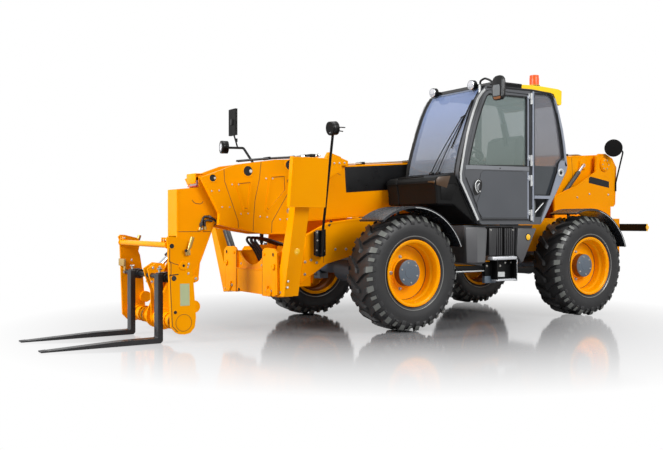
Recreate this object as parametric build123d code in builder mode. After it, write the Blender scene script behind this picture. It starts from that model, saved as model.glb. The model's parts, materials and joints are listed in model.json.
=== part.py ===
from build123d import *
from math import cos, sin, radians, atan2, hypot
import os

os.makedirs("parts", exist_ok=True)

# Millimetres. X points forward to the forks, Y to the cab side, Z up. Drawn from
# the middle of the wheelbase and moved at the end to the middle of the outline.
seat = 0.3                      # gap where two fixed pieces rest on each other
fork_tip_x = 5020
tower_rear_x = -3030
mirror_outer_y = 1465
pad_outer_y = 1348.1            # of the right stabiliser, which stands a little lowered
x_mid = (fork_tip_x + tower_rear_x) / 2
y_mid = (mirror_outer_y - pad_outer_y) / 2

axle_x = 1378
tyre_radius = 620
tyre_half = 220
track_half = 970
tyre_outer_y = track_half + tyre_half
kingpin_y = track_half - 225
hub_z = tyre_radius
under_z = hub_z + 160           # chassis plates over the axles


def side_slab(points, y_low, y_high):
    with BuildPart() as piece:
        with BuildSketch(Plane.XZ.offset(-y_high)):
            with BuildLine():
                Polyline(*points, close=True)
            make_face()
        extrude(amount=y_high - y_low)
    return piece.part


def cross_slab(points, x_low, x_high):
    with BuildPart() as piece:
        with BuildSketch(Plane.YZ.offset(x_low)):
            with BuildLine():
                Polyline(*points, close=True)
            make_face()
        extrude(amount=x_high - x_low)
    return piece.part


def flat_slab(points, z_low, z_high):
    with BuildPart() as piece:
        with BuildSketch(Plane.XY.offset(z_low)):
            with BuildLine():
                Polyline(*points, close=True)
            make_face()
        extrude(amount=z_high - z_low)
    return piece.part


def block(x_low, x_high, y_low, y_high, z_low, z_high):
    with BuildPart() as piece:
        with Locations(((x_low + x_high) / 2, (y_low + y_high) / 2, (z_low + z_high) / 2)):
            Box(x_high - x_low, y_high - y_low, z_high - z_low)
    return piece.part


def rod(start, end, radius, bore=0):
    first, last = Vector(*start), Vector(*end)
    with BuildPart() as piece:
        with BuildSketch(Plane(origin=first, z_dir=last - first)):
            Circle(radius)
            if bore:
                Circle(bore, mode=Mode.SUBTRACT)
        extrude(amount=(last - first).length)
    return piece.part


def cross_pin(x, z, radius, y_low, y_high, bore=0):
    return rod((x, y_low, z), (x, y_high, z), radius, bore)


def long_pin(y, z, radius, x_low, x_high, bore=0):
    return rod((x_low, y, z), (x_high, y, z), radius, bore)


def turned(profile):
    with BuildPart() as piece:
        with BuildSketch(Plane.YZ):
            with BuildLine():
                Polyline(*profile, close=True)
            make_face()
        revolve(axis=Axis.Y)
    return piece.part


def bent_tube(points, radius, bend):
    with BuildPart() as piece:
        with BuildLine() as run:
            FilletPolyline(*points, radius=bend)
        with BuildSketch(Plane(origin=run.line @ 0, z_dir=run.line % 0)):
            Circle(radius)
        sweep()
    return piece.part


def other_side(shape):
    return shape.mirror(Plane.XZ)


def both(shape):
    return [shape, other_side(shape)]


def united(shapes):
    with BuildPart() as piece:
        for shape in shapes:
            add(shape)
    return piece.part


pieces = {}

# ---------------------------------------------------------------- boom axes
pivot_x, pivot_z = -2760, 1970
boom_slope = radians(4.09)
boom_depth_mid = -155           # middle of the boom sections below the pivot line


def on_boom(along, above):
    """Point of the side view, from a place along the boom and above the pivot line."""
    return (pivot_x + along * cos(boom_slope) + above * sin(boom_slope),
            pivot_z - along * sin(boom_slope) + above * cos(boom_slope))


def boom_tube(along_low, along_high, half_width, half_depth, wall):
    def frame(width, depth, low, high):
        corners = [on_boom(low, boom_depth_mid - depth), on_boom(high, boom_depth_mid - depth),
                   on_boom(high, boom_depth_mid + depth), on_boom(low, boom_depth_mid + depth)]
        return side_slab(corners, -width, width)
    with BuildPart() as piece:
        add(frame(half_width, half_depth, along_low, along_high))
        add(frame(half_width - wall, half_depth - wall, along_low - 5, along_high + 5),
            mode=Mode.SUBTRACT)
    return piece.part


def wear_ring(name):
    """Slide pads at a section's mouth, round the next section."""
    low, high, width, depth, wall = stages[name]
    names = list(stages)
    inner_width = stages[names[names.index(name) + 1]][2]
    return boom_tube(high - 90, high - 12, width - wall + 1, depth - wall + 1,
                     width - wall + 1 - inner_width - seat)


# ---------------------------------------------------------------- chassis
chassis_y = 420
plate = 25
cab_floor_z = 1130
chassis_side = [(2330, 500), (2250, 1025), (1970, 1154), (1505, 1208), (480, 1208),
                (435, cab_floor_z - seat), (-630, cab_floor_z - seat), (-690, 1208), (-2905, 1208),
                (-2905, 720), (-2000, 640), (-1830, under_z), (-1000, under_z), (-860, 560),
                (880, 560), (1030, under_z), (1720, under_z - 12), (1990, 704)]
tower_y = 270
tower_side = [(-1745, 1150), (-1745, 1510), (-2195, 1662), (-2580, 1858), (-2600, 2080),
              (-2650, 2120), (-2790, 2125), (-2940, 2065), (tower_rear_x, 1940),
              (-3005, 1415), (-2965, 1380), (-2900, 1380), (-2900, 1150)]
lift_base_x, lift_base_z = -2450, 850
comp_base_x, comp_base_z = -1950, 1500

with BuildPart() as chassis:
    for side in both(side_slab(chassis_side, chassis_y - plate, chassis_y)):
        add(side)
    for side in both(side_slab(tower_side, tower_y - plate, tower_y)):
        add(side)
    for side in both(cross_pin(pivot_x, pivot_z, 95, 176, tower_y + 18)):
        add(side)
    # deck strips that join the towers to the outer side plates
    for side in both(block(-2905, -1745, tower_y - plate, chassis_y - 5, 1150, 1175)):
        add(side)
    # cross walls, low enough for the boom and its cylinder
    for x_low, half, z_low, z_high in (
            (2150, 415, 500, 940), (1010, 415, under_z, 1150), (860, 415, 560, 800),
            (-860, 415, 560, 800), (-1020, 415, under_z, 880), (-2040, 415, 660, 780),
            (-2905, 420, 720, 1208), (-2905, tower_y, 1200, 1400)):
        add(block(x_low, x_low + 20, -half, half, z_low, z_high))
    add(block(-860, 880, -chassis_y + 5, chassis_y - 5, 560, 580))
    for x_low, x_high in ((1010, 2000), (-1830, -1000)):
        add(block(x_low, x_high, -chassis_y + 5, chassis_y - 5, under_z, under_z + 20))
    add(block(-2905, -2030, -chassis_y + 5, chassis_y - 5, 700, 720))
    # lugs of the lift cylinder's base
    for y_low, y_high in ((-125, -95), (95, 125)):
        add(side_slab([(-2560, 710), (-2340, 710), (-2385, 900), (-2450, 935), (-2515, 900)],
                      y_low, y_high))
    add(cross_pin(lift_base_x, lift_base_z, 32, -130, 130))
    # pin of the compensation cylinder, inside the cab side tower
    add(cross_pin(comp_base_x, comp_base_z, 16, 188, tower_y - plate + 1))
pieces["chassis"] = chassis.part

# ---------------------------------------------------------------- front frame
leg_x_low, leg_x_high = 2520, 2690
stab_pin_y, stab_pin_z = 470, 430
ram_pin_y, ram_pin_z = 550, 700
tower_outline = [(300, 385), (300, 845), (330, 875), (385, 890), (552, 883), (616, 843),
                 (622, 420), (560, 398), (400, 385)]
with BuildPart() as front_frame:
    for x_low in (2470, 2698):
        for side in both(cross_slab(tower_outline, x_low, x_low + 22)):
            add(side)
    for side in both(block(2470, 2720, 300, 318, 386, 845)):
        add(side)
    # front panel with its ledge
    add(block(2690, 2712, -302, 302, 396, 650))
    add(block(2600, 2700, -302, 302, 632, 650))
    # cradle that the boom rests over, cut to a U
    with BuildSketch(Plane.YZ.offset(2668)):
        with BuildLine():
            Polyline((-302, 600), (302, 600), (302, 845), (-302, 845), close=True)
        make_face()
        with Locations((0, 1085)):
            Circle(388, mode=Mode.SUBTRACT)
    extrude(amount=22)
    # box back to the chassis
    add(block(2180, 2480, -394.7, 394.7, 470, 492))
    for side in both(block(2180, 2480, 372, 394.7, 470, 900)):
        add(side)
    add(block(2440, 2480, -394.7, 394.7, 470, 640))
    for side in both(long_pin(stab_pin_y, stab_pin_z, 28, 2462, 2728)):
        add(side)
    for side in both(long_pin(ram_pin_y, ram_pin_z, 20, 2462, 2728)):
        add(side)
pieces["front_frame"] = front_frame.part

# ---------------------------------------------------------------- stabilisers
pad_lean = radians(8)
pad_y, pad_z = 1045, 1545
eye_y, eye_z = 745, 1270
right_lowered = 12              # degrees that the right stabiliser stands below the left one


def leg():
    with BuildPart() as piece:
        # leg from its foot to the pad, with a knuckle round the hinge pin
        add(cross_slab([(523, 397), (706, 403), (917, 1260), (1010, 1700), (900, 1700),
                        (793, 1227)], leg_x_low, leg_x_high))
        add(long_pin(stab_pin_y, stab_pin_z, 48, leg_x_low, leg_x_high))
        add(cross_slab([(470, 386), (600, 388), (680, 600), (560, 560), (432, 470)],
                       leg_x_low, leg_x_high))
        # room for the cylinder's eye between two lugs
        for x_low in (2535, 2635):
            add(cross_slab([(eye_y - 30, eye_z - 40), (eye_y + 80, eye_z - 70),
                            (eye_y + 110, eye_z + 60), (eye_y - 10, eye_z + 45),
                            (eye_y - 35, eye_z)], x_low, x_low + 20))
        # pad
        across, along = cos(pad_lean), sin(pad_lean)
        face = [(pad_y + along * t + across * s, pad_z + across * t - along * s)
                for t, s in ((-245, -62), (245, -62), (245, 0), (-245, 0))]
        add(cross_slab(face, 2385, 2800))
        add(long_pin(stab_pin_y, stab_pin_z, 28.05, leg_x_low - 1, leg_x_high + 1),
            mode=Mode.SUBTRACT)
    return piece.part


hinge = Pos(0, stab_pin_y, stab_pin_z)
lowering = hinge * Rot(-right_lowered, 0, 0) * hinge.inverse()
pieces["stabiliser_left"] = leg()
pieces["stabiliser_right"] = other_side(lowering * pieces["stabiliser_left"])


def cylinder(base, eye, radius, rod_radius, base_bore, eye_radius, width, gland, pin_radius,
             across, tail=0):
    """Barrel and rod of a cylinder closed between two pins; across is the pins' direction."""
    start, end = Vector(*base), Vector(*eye)
    way = (end - start).normalized()
    length = (end - start).length
    half = Vector(*across) * (width / 2)
    top = start + way * gland
    with BuildPart() as barrel:
        add(rod(start - half, start + half, radius * 1.05))
        add(rod(start + way * (radius * 0.6), top, radius))
        add(rod(start - half * 1.1, start + half * 1.1, base_bore), mode=Mode.SUBTRACT)
        add(rod(start + way * (radius * 1.6), top + way, rod_radius + 0.05), mode=Mode.SUBTRACT)
    with BuildPart() as ram:
        add(rod(start + way * (tail or radius * 1.7 + 10), end - way * (eye_radius * 0.6),
                rod_radius))
        add(rod(end - half, end + half, eye_radius))
        add(rod(end - half * 1.02, end + half * 1.02, pin_radius), mode=Mode.SUBTRACT)
    return barrel.part, ram.part


right_eye = (lowering * Pos(0, eye_y, eye_z)).position
for side, eye, tail in (("left", (2595, eye_y, eye_z), 81),
                        ("right", (2595, right_eye.Y, right_eye.Z), 92)):
    stab_parts = cylinder((2595, ram_pin_y, ram_pin_z), eye, 42, 24, 20.05, 32, 60, 450, 17,
                          (1, 0, 0), tail)
    for name, shape in zip(("stabiliser_barrel_", "stabiliser_rod_"), stab_parts):
        pieces[name + side] = shape if side == "left" else other_side(shape)

# ---------------------------------------------------------------- axles
with BuildPart() as axle:
    add(cross_pin(0, hub_z, 150, -150, 150))
    for side in both(turned([(140, 0), (140, 120), (300, 78), (kingpin_y - 125, 70),
                             (kingpin_y - 125, 0)])):
        add(Pos(0, 0, hub_z) * side)
    # yokes above and below each knuckle
    yoke = [(-60, kingpin_y - 145), (60, kingpin_y - 145), (60, kingpin_y + 15),
            (30, kingpin_y + 55), (-30, kingpin_y + 55), (-60, kingpin_y + 15)]
    for side in both(united([
            block(-60, 60, kingpin_y - 145, kingpin_y - 85, hub_z - 150, hub_z + 150),
            flat_slab(yoke, hub_z + 122, hub_z + 150),
            flat_slab(yoke, hub_z - 150, hub_z - 122),
            rod((0, kingpin_y, hub_z + 96), (0, kingpin_y, hub_z + 150), 25),
            rod((0, kingpin_y, hub_z - 150), (0, kingpin_y, hub_z - 96), 25)])):
        add(side)
    # seat under the chassis
    add(block(-110, 110, -200, 200, hub_z + 60, under_z - seat))
    for side in both(rod((-175, 120, hub_z), (-175, kingpin_y - 185, hub_z), 32)):
        add(side)
    add(rod((-175, -130, hub_z), (-175, 130, hub_z), 46))
    add(block(-180, 0, -60, 60, hub_z - 40, hub_z + 40))
pieces["front_axle"] = Pos(axle_x, 0, 0) * axle.part
pieces["rear_axle"] = Pos(-axle_x, 0, 0) * (Rot(0, 0, 180) * axle.part)

# ---------------------------------------------------------------- wheels
guard_inner = tyre_radius + 72
guard_thick = 10
guard_y_low, guard_y_high = track_half - 190, tyre_outer_y
arm_y = kingpin_y - 30          # clear of the tyre's inner side


def knuckle(first_angle, last_angle):
    """Left knuckle at the origin of its wheel, with the mudguard it carries."""
    with BuildPart() as piece:
        add(rod((0, kingpin_y, hub_z - 116), (0, kingpin_y, hub_z + 116), 62))
        for z_low in (hub_z - 117, hub_z + 95):
            add(rod((0, kingpin_y, z_low), (0, kingpin_y, z_low + 22), 25.05),
                mode=Mode.SUBTRACT)
        add(rod((0, kingpin_y + 30, hub_z), (0, kingpin_y + 115, hub_z), 88))
        add(rod((0, kingpin_y + 105, hub_z), (0, track_half + 70, hub_z), 60))
        # arm of the mudguard, behind the wheel's inner side
        add(united([block(-140, 20, arm_y, arm_y + 20, hub_z, hub_z + 93),
                    block(-140, -102, arm_y, arm_y + 20, hub_z + 90, hub_z + guard_inner),
                    block(-140, -102, arm_y, guard_y_low + 20, hub_z + guard_inner - 18,
                          hub_z + guard_inner)]))
        with BuildSketch(Plane.XZ.offset(-guard_y_high)):
            with BuildLine():
                sweep_angle = last_angle - first_angle
                inner = CenterArc((0, hub_z), guard_inner, first_angle, sweep_angle)
                outer = CenterArc((0, hub_z), guard_inner + guard_thick, first_angle,
                                  sweep_angle)
                Line(outer @ 0, inner @ 0)
                Line(outer @ 1, inner @ 1)
            make_face()
        extrude(amount=guard_y_high - guard_y_low)
    return piece.part


lug_count = 18
tyre_profile = [(-184, 326.3), (-188, 356), (-208, 378), (-tyre_half, tyre_radius - 170),
                (-217, tyre_radius - 100), (-186, tyre_radius - 42), (0, tyre_radius - 30),
                (186, tyre_radius - 42), (217, tyre_radius - 100),
                (tyre_half, tyre_radius - 170), (208, 378), (188, 356), (184, 326.3)]
lug_outline = [(209, 92), (209, 34), (130, 8), (-6, -96), (-26, -50), (110, 62)]
lug_low, lug_high = tyre_radius - 80, tyre_radius - 7.5


def tyre():
    with BuildPart() as piece:
        add(turned(tyre_profile))
        for turn, side in ((0, 1), (180 / lug_count, -1)):
            for k in range(lug_count):
                angle = radians(turn + k * 360 / lug_count)
                facing = (cos(angle), 0, sin(angle))
                with BuildSketch(Plane(origin=(lug_low * facing[0], 0, lug_low * facing[2]),
                                       x_dir=(0, 1, 0), z_dir=facing)):
                    with BuildLine():
                        Polyline(*[(side * across, round_) for across, round_ in lug_outline],
                                 close=True)
                    make_face()
        extrude(amount=lug_high - lug_low)
    return piece.part


rim_profile = [(204, 354), (203, 340), (194, 320), (170, 314), (124, 311), (106, 292),
               (34, 288), (26, 276), (26, 168), (40, 164), (40, 140), (112, 140), (120, 132),
               (120, 0), (98, 0), (98, 60.05), (-38, 60.05), (-38, 130), (12, 140), (12, 280),
               (0, 290), (-106, 292), (-124, 311), (-170, 314), (-194, 320), (-203, 340),
               (-204, 354), (-192, 354), (-188, 326), (-132, 326), (-106, 304), (106, 304),
               (132, 326), (188, 326), (192, 354)]

wheel_places = {"front_left": (axle_x, 1), "front_right": (axle_x, -1),
                "rear_left": (-axle_x, 1), "rear_right": (-axle_x, -1)}
one_tyre = tyre()
one_rim = turned(rim_profile)
guards = {"front": knuckle(52, 157), "rear": knuckle(66, 161)}
for place, (x, side) in wheel_places.items():
    arm = guards[place.split("_")[0]]
    for name, shape, y in (("tyre_", one_tyre, track_half), ("rim_", one_rim, track_half)):
        wheel = Pos(0, y, hub_z) * shape
        pieces[name + place] = Pos(x, 0, 0) * (wheel if side > 0 else other_side(wheel))
    pieces["knuckle_" + place] = Pos(x, 0, 0) * (arm if side > 0 else other_side(arm))

# ---------------------------------------------------------------- boom
stages = {  # name: (from, to along the boom, half width, half depth, wall)
    "boom_outer": (-120, 5700, 170, 300, 10),
    "boom_second": (420, 5790, 152, 282, 9),
    "boom_third": (620, 5880, 135, 265, 8),
    "boom_inner": (820, 6130, 119, 249, 8)}
nose_side = [(3371, 1612), (2976, 1758), (2521, 1826), (1871, 1866), (1829, 1939), (1668, 1892),
             (1658, 1740), (1829, 1645), (2200, 1250), (2300, 1100), (2407, 1028), (2637, 1027),
             (2827, 1057), (3180, 1129), (3171, 1244)]
lift_along, lift_below = 2000, -530
lift_eye_x, lift_eye_z = on_boom(lift_along, lift_below)
comp_eye_x, comp_eye_z = -2400, 1950
with BuildPart() as boom_outer:
    add(boom_tube(*stages["boom_outer"]))
    add(wear_ring("boom_outer"))
    for side in both(side_slab(nose_side, 165, 215)):
        add(side)
    # lower cross member of the nose, under the sections
    add(side_slab([on_boom(5200, -458), on_boom(5700, -458), on_boom(5700, -490),
                   on_boom(5200, -490)], -170, 170))
    # collar on top
    add(side_slab([on_boom(4330, 140), on_boom(4620, 140), on_boom(4600, 225),
                   on_boom(4440, 235), on_boom(4330, 190)], -215, 215))
    # pivot tube and its plates
    add(cross_pin(pivot_x, pivot_z, 92, -171, 171))
    add(cross_pin(pivot_x, pivot_z, 40.05, -180, 180), mode=Mode.SUBTRACT)
    # lugs of the lift cylinder
    for y_low, y_high in ((-95, -65), (65, 95)):
        add(side_slab([on_boom(lift_along - 150, -450), on_boom(lift_along + 150, -450),
                       on_boom(lift_along + 55, lift_below - 55),
                       on_boom(lift_along - 55, lift_below - 55)], y_low, y_high))
    # bracket of the compensation cylinder
    add(side_slab([(-2470, 1900), (-2340, 1900), (-2350, 2010), (-2440, 2085), (-2480, 2060)],
                  165, 188))
pieces["boom_outer"] = boom_outer.part
for name in ("boom_second", "boom_third"):
    pieces[name] = united([boom_tube(*stages[name]), wear_ring(name)])
with BuildPart() as pins:
    add(cross_pin(pivot_x, pivot_z, 40, -250, 250))
chassis_part = united([pieces["chassis"], pins.part])
pieces["chassis"] = chassis_part

tilt_x, tilt_z = 3727, 192
neck_side = [(3598, 1490), (3344, 1515), (3300, 1500), (3139, 1243), (3326, 773), (3617, 170),
             (3727, 80), (3835, 175), (3830, 250), (3660, 640), (3598, 760)]
tilt_base_x, tilt_base_z = 3330, 1090
with BuildPart() as boom_inner:
    add(boom_tube(*stages["boom_inner"]))
    add(side_slab(neck_side, -119, 119))
    # hollow neck, open below
    add(side_slab([(3586, 1478), (3350, 1500), (3160, 1240), (3342, 780), (3560, 100),
                   (3900, 50), (3900, 560), (3700, 640), (3650, 1015), (3586, 1015)], -97, 97),
        mode=Mode.SUBTRACT)
    add(side_slab([on_boom(6080, -150), on_boom(6122, -150), on_boom(6122, 60),
                   on_boom(6080, 60)], -112, 112))
    add(cross_pin(tilt_x, tilt_z, 110, -119, -97))
    add(cross_pin(tilt_x, tilt_z, 110, 97, 119))
    add(cross_pin(tilt_x, tilt_z, 70.05, -125, 125), mode=Mode.SUBTRACT)
    # pin and lugs of the tilt cylinder
    add(cross_pin(tilt_base_x, tilt_base_z, 24, -100, 100))
    # roller behind the neck
    add(cross_pin(3392, 578, 45, -70, 70))
    add(cross_pin(3392, 578, 16, -119, 119))
    for side in both(side_slab([(3340, 760), (3362, 560), (3410, 535), (3470, 560), (3420, 760)],
                               97, 119)):
        add(side)
pieces["boom_inner"] = boom_inner.part

lift_parts = cylinder((lift_base_x, 0, lift_base_z), (lift_eye_x, 0, lift_eye_z), 88, 50, 32.05,
                      58, 120, 1520, 30, (0, 1, 0))
pieces["lift_barrel"], pieces["lift_rod"] = lift_parts
comp_parts = cylinder((comp_base_x, 208, comp_base_z), (comp_eye_x, 208, comp_eye_z), 30, 18,
                      16.05, 24, 26, 500, 14, (0, 1, 0))
pieces["compensation_barrel"], pieces["compensation_rod"] = comp_parts

# ---------------------------------------------------------------- carriage
tilt_eye_x, tilt_eye_z = 3755, 700
hang_x, hang_z = 3835, 625
carriage_side = [(3895, 957), (3912, 1000), (3890, 1022), (3845, 1020), (3700, 985),
                 (3668, 940), (3690, 840), (3672, 800), (3638, 588), (3612, 240), (3625, 150),
                 (3670, 100), (3727, 88), (3785, 95), (3813, 110), (3866, 165)]
side_left, side_right = 600, -735       # inner faces of the side plates
with BuildPart() as carriage:
    add(side_slab(carriage_side, side_left, side_left + 30))
    add(side_slab(carriage_side, side_right - 30, side_right))
    for x, z, radius in ((3880, 940, 28), (tilt_x, tilt_z, 70)):
        add(cross_pin(x, z, radius, side_right - 1, side_left + 1))
    for y_low, y_high in ((-68, -44), (44, 68)):
        add(side_slab([(3700, 740), (3790, 750), (3885, 690), (3862, 600), (3812, 470),
                       (3806, 300), (3800, 150), (3690, 150), (3700, 300), (3740, 420),
                       (3760, 560), (3710, 650)], y_low, y_high))
    # ribs either side of the neck
    for y in (-690, -560, -430, -300, -170, 150, 280, 410, 540):
        add(cross_pin(tilt_x, tilt_z, 84, y, y + 20))
    # ears on the top tube
    for y in (-700, 470):
        for shift in (0, 60):
            add(side_slab([(3860, 930), (3905, 930), (3900, 1010), (3865, 1010)], y + shift,
                          y + shift + 16))
    # stops behind the side plates
    for y_low in (side_left - 35, side_right - 5):
        add(cross_pin(3618, 345, 60, y_low, y_low + 40))
    for y_low, y_high in ((side_right - 35, side_right + 10), (-70, 70),
                          (side_left - 10, side_left + 35)):
        add(cross_pin(hang_x, hang_z, 25 + seat, y_low, y_high), mode=Mode.SUBTRACT)
pieces["carriage"] = carriage.part
tilt_parts = cylinder((tilt_base_x, 0, tilt_base_z), (tilt_eye_x, 0, tilt_eye_z), 45, 26, 24.05,
                      36, 76, 430, 20, (0, 1, 0), 172)
pieces["tilt_barrel"], pieces["tilt_rod"] = tilt_parts

fork_back, fork_front = 3890, 3940
fork_low = 3
fork_side = [(fork_back, 660), (fork_back, fork_low + 20), (fork_back + 20, fork_low),
             (fork_tip_x, fork_low), (fork_tip_x, fork_low + 10), (4300, fork_low + 48),
             (fork_front + 8, fork_low + 50), (fork_front, fork_low + 58), (fork_front, 660)]
fork_ys = (440, -320)
fork_half = 53
with BuildPart() as forks:
    for y in fork_ys:
        add(side_slab(fork_side, y - fork_half, y + fork_half))
        add(side_slab([(hang_x, 680), (fork_front - 10, 672), (fork_front - 10, 590),
                       (hang_x, 575)], y - 38, y + 38))
        add(cross_pin(hang_x, hang_z, 50, y - 38, y + 38))
    add(cross_pin(hang_x, hang_z, 25, side_right - 28, side_left + 28))
pieces["forks"] = forks.part

# ---------------------------------------------------------------- cab
cab_left, cab_right = 1120, 188
wall = 50
cab_side = [(717, 1691), (712, 1760), (345, 2640), (320, 2680), (260, 2700), (-435, 2715),
            (-740, 2700), (-790, 2660), (-935, 2290), (-1011, 1915), (-1028, 1840),
            (-1010, 1770), (-610, 1180), (-560, cab_floor_z), (385, cab_floor_z), (425, 1150), (700, 1640)]
door_opening = [(-385, 2650), (-385, 1170), (390, 1170), (655, 1690), (650, 1760),
                (285, 2625), (250, 2645)]
rear_opening = [(-450, 2640), (-450, 1470), (-730, 1470), (-935, 1780), (-940, 1935),
                (-871, 2290), (-755, 2590), (-720, 2625)]
low_opening = [(-450, 1430), (-450, 1180), (-560, 1180), (-700, 1400), (-705, 1430)]
door_hinge_x, door_hinge_y = -397.5, 1132
door_hinge_zs = (1239, 1643, 1878, 2600)
with BuildPart() as cab_frame:
    add(side_slab(cab_side, cab_left - wall, cab_left))
    add(side_slab(cab_side, cab_right, cab_right + wall))
    for opening in (door_opening, rear_opening, low_opening):
        add(side_slab(opening, cab_left - wall - 5, cab_left + 5), mode=Mode.SUBTRACT)
    inner_opening = [(-385, 2640), (-385, 1790), (625, 1790), (285, 2615), (250, 2640)]
    for opening in (inner_opening, rear_opening):
        add(side_slab(opening, cab_right - 5, cab_right + wall + 5), mode=Mode.SUBTRACT)
    across = (cab_right + wall - 1, cab_left - wall + 1)
    for corners in ([(717, 1691), (700, 1640), (650, 1665), (660, 1760), (712, 1760)],
                    [(345, 2640), (320, 2680), (260, 2700), (200, 2701), (200, 2660),
                     (300, 2640)],
                    [(-740, 2700), (-790, 2660), (-811.5, 2605), (-780, 2605), (-700, 2640),
                     (-680, 2703)],
                    [(-1028, 1840), (-1024, 1855), (-975, 1855), (-960, 1790),
                     (-1010, 1770)],
                    [(-560, cab_floor_z), (385, cab_floor_z), (385, 1172 - seat), (-560, 1172 - seat)],
                    [(700, 1640), (425, 1150), (380, 1165), (650, 1665)],
                    [(-1010, 1770), (-610, 1180), (-560, 1200), (-960, 1790)]):
        add(side_slab(corners, *across))
    for z in door_hinge_zs:
        add(rod((door_hinge_x, door_hinge_y, z - 34), (door_hinge_x, door_hinge_y, z - 4), 11))
        add(rod((door_hinge_x, door_hinge_y, z - 34), (door_hinge_x, door_hinge_y, z + 34), 5))
        add(block(-440, door_hinge_x, cab_left - 2, door_hinge_y + 4, z - 34, z - 4))
pieces["cab_frame"] = cab_frame.part
with BuildPart() as cab_roof:
    add(side_slab([(246, 2701.2), (205, 2746), (60, 2758), (-255, 2758), (-530, 2769),
                   (-880, 2758), (-940, 2740), (-935, 2582), (-922, 2568), (-862, 2572),
                   (-800, 2692), (-735, 2701.2), (-435, 2715.6)], cab_right + 10, cab_left - 10))
    with Locations((-562, 1020, 2778)):
        Cylinder(62, 26)
    with Locations((-562, 1020, 2847)):
        Cylinder(54, 116)
pieces["cab_roof"] = cab_roof.part
glass = 6
with BuildPart() as cab_glass:
    add(side_slab([(711.9, 1760.3), (705.9, 1760.3), (339.1, 2639.7), (345.1, 2639.7)], cab_right + wall + seat,
                  cab_left - wall - seat))
    add(side_slab([(-811, 2604.7), (-805, 2604.7), (-929, 2290), (-1005, 1915),
                   (-1018, 1855.3), (-1024, 1855.3), (-1011, 1915), (-935, 2290)],
                  cab_right + wall + seat, cab_left - wall - seat))
    inset = 0.4
    for y_low in (cab_left - 30, cab_right + 20):
        add(side_slab([(-450.4, 2639), (-450.4, 1470.5), (-729, 1470.5), (-934, 1780.5),
                       (-939, 1935), (-870, 2290), (-754, 2589), (-720, 2624)], y_low,
                      y_low + glass))
    add(side_slab([(-384.6, 2639.5), (-384.6, 1790.5), (624, 1790.5), (284, 2614.5),
                   (250, 2639.5)], cab_right + 20, cab_right + 20 + glass))
pieces["cab_glass"] = cab_glass.part
door_outline = [(-379, 2644), (-379, 1176), (385, 1176), (648, 1690), (643, 1758),
                (280, 2620), (248, 2639)]
door_window = [(-335, 2600), (-335, 1805), (560, 1805), (590, 1830), (262, 2600)]
with BuildPart() as cab_door:
    add(side_slab(door_outline, cab_left - 44, cab_left - 4))
    add(side_slab(door_window, cab_left - 50, cab_left), mode=Mode.SUBTRACT)
    add(side_slab([(-330, 1750), (-330, 1230), (340, 1230), (560, 1660), (540, 1750)],
                  cab_left - 50, cab_left - 20), mode=Mode.SUBTRACT)
    for z in door_hinge_zs:
        add(block(door_hinge_x + 6, -345, cab_left + 0.5, door_hinge_y - 5, z - 3.7, z + 30))
        add(block(-378, -345, cab_left - 14, cab_left + 2, z - 3.7, z + 30))
        add(rod((door_hinge_x, door_hinge_y, z - 3.7), (door_hinge_x, door_hinge_y, z + 30), 11))
        add(rod((door_hinge_x, door_hinge_y, z - 5), (door_hinge_x, door_hinge_y, z + 31), 5.05),
            mode=Mode.SUBTRACT)
pieces["cab_door"] = cab_door.part
with BuildPart() as door_glass:
    add(side_slab([(-334.6, 2599.6), (-334.6, 1805.4), (559.6, 1805.4), (589.5, 1830),
                   (261.7, 2599.6)], cab_left - 27, cab_left - 21))
pieces["door_glass"] = door_glass.part
with BuildPart() as cab_interior:
    add(block(-540, 380, cab_right + wall + 5, cab_left - wall - 5, 1172, 1190))
    add(side_slab([(640, 1668), (392, 1190), (300, 1190), (300, 1400), (420, 1640), (560, 1720)],
                  cab_right + wall + 10, cab_left - wall - 10))
    add(rod((400, 640, 1480), (184, 640, 1895), 30))
    with BuildSketch(Plane(origin=(190, 640, 1880), z_dir=(-0.4, 0, 0.92))):
        Circle(180)
        Circle(158, mode=Mode.SUBTRACT)
        Rectangle(330, 30)
    extrude(amount=24)
    # seat
    add(block(-420, 60, 420, 880, 1185, 1420))
    add(block(-430, 90, 400, 900, 1420, 1540))
    add(side_slab([(-440, 1500), (-300, 1520), (-400, 2150), (-500, 2200), (-540, 2150)],
                  410, 890))
    add(block(-540, -400, cab_right + wall + 10, cab_left - wall - 10, 1185, 1420))
pieces["cab_interior"] = cab_interior.part

# ---------------------------------------------------------------- cowl, tank, engine side
with BuildPart() as front_cowl:
    add(side_slab([(1040, 1600), (1010, 1480), (1000, 1345), (775, 1345), (440, 1132),
                   (725, 1655), (740, 1690), (1030, 1640)], 215, 1100))
    add(block(400, 1100, 200, chassis_y + seat, 1100, 1208 + seat), mode=Mode.SUBTRACT)
pieces["front_cowl"] = front_cowl.part
with BuildPart() as side_tank:
    add(side_slab([(575, 1120), (565, 700), (300, 660), (250, 780), (-60, 780), (-200, 690),
                   (-330, 680), (-500, 1080), (-520, 1120)], chassis_y + seat, 1090))
    # rail and plate that carry the steps
    add(block(-260, 600, 960, 1040, 600, 684))
    add(block(-255, 240, 1010, 1022, 560, 800))
    add(block(-205, 235, 1090, 1150, 725, 760))
    for x in (-190, 140):
        add(block(x, x + 16, 1100, 1130, 500, 740))
    add(block(-205, 175, 1085, 1150, 485, 505))
pieces["side_tank"] = side_tank.part
hood_hinge_y, hood_hinge_z = -325, 1515
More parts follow.
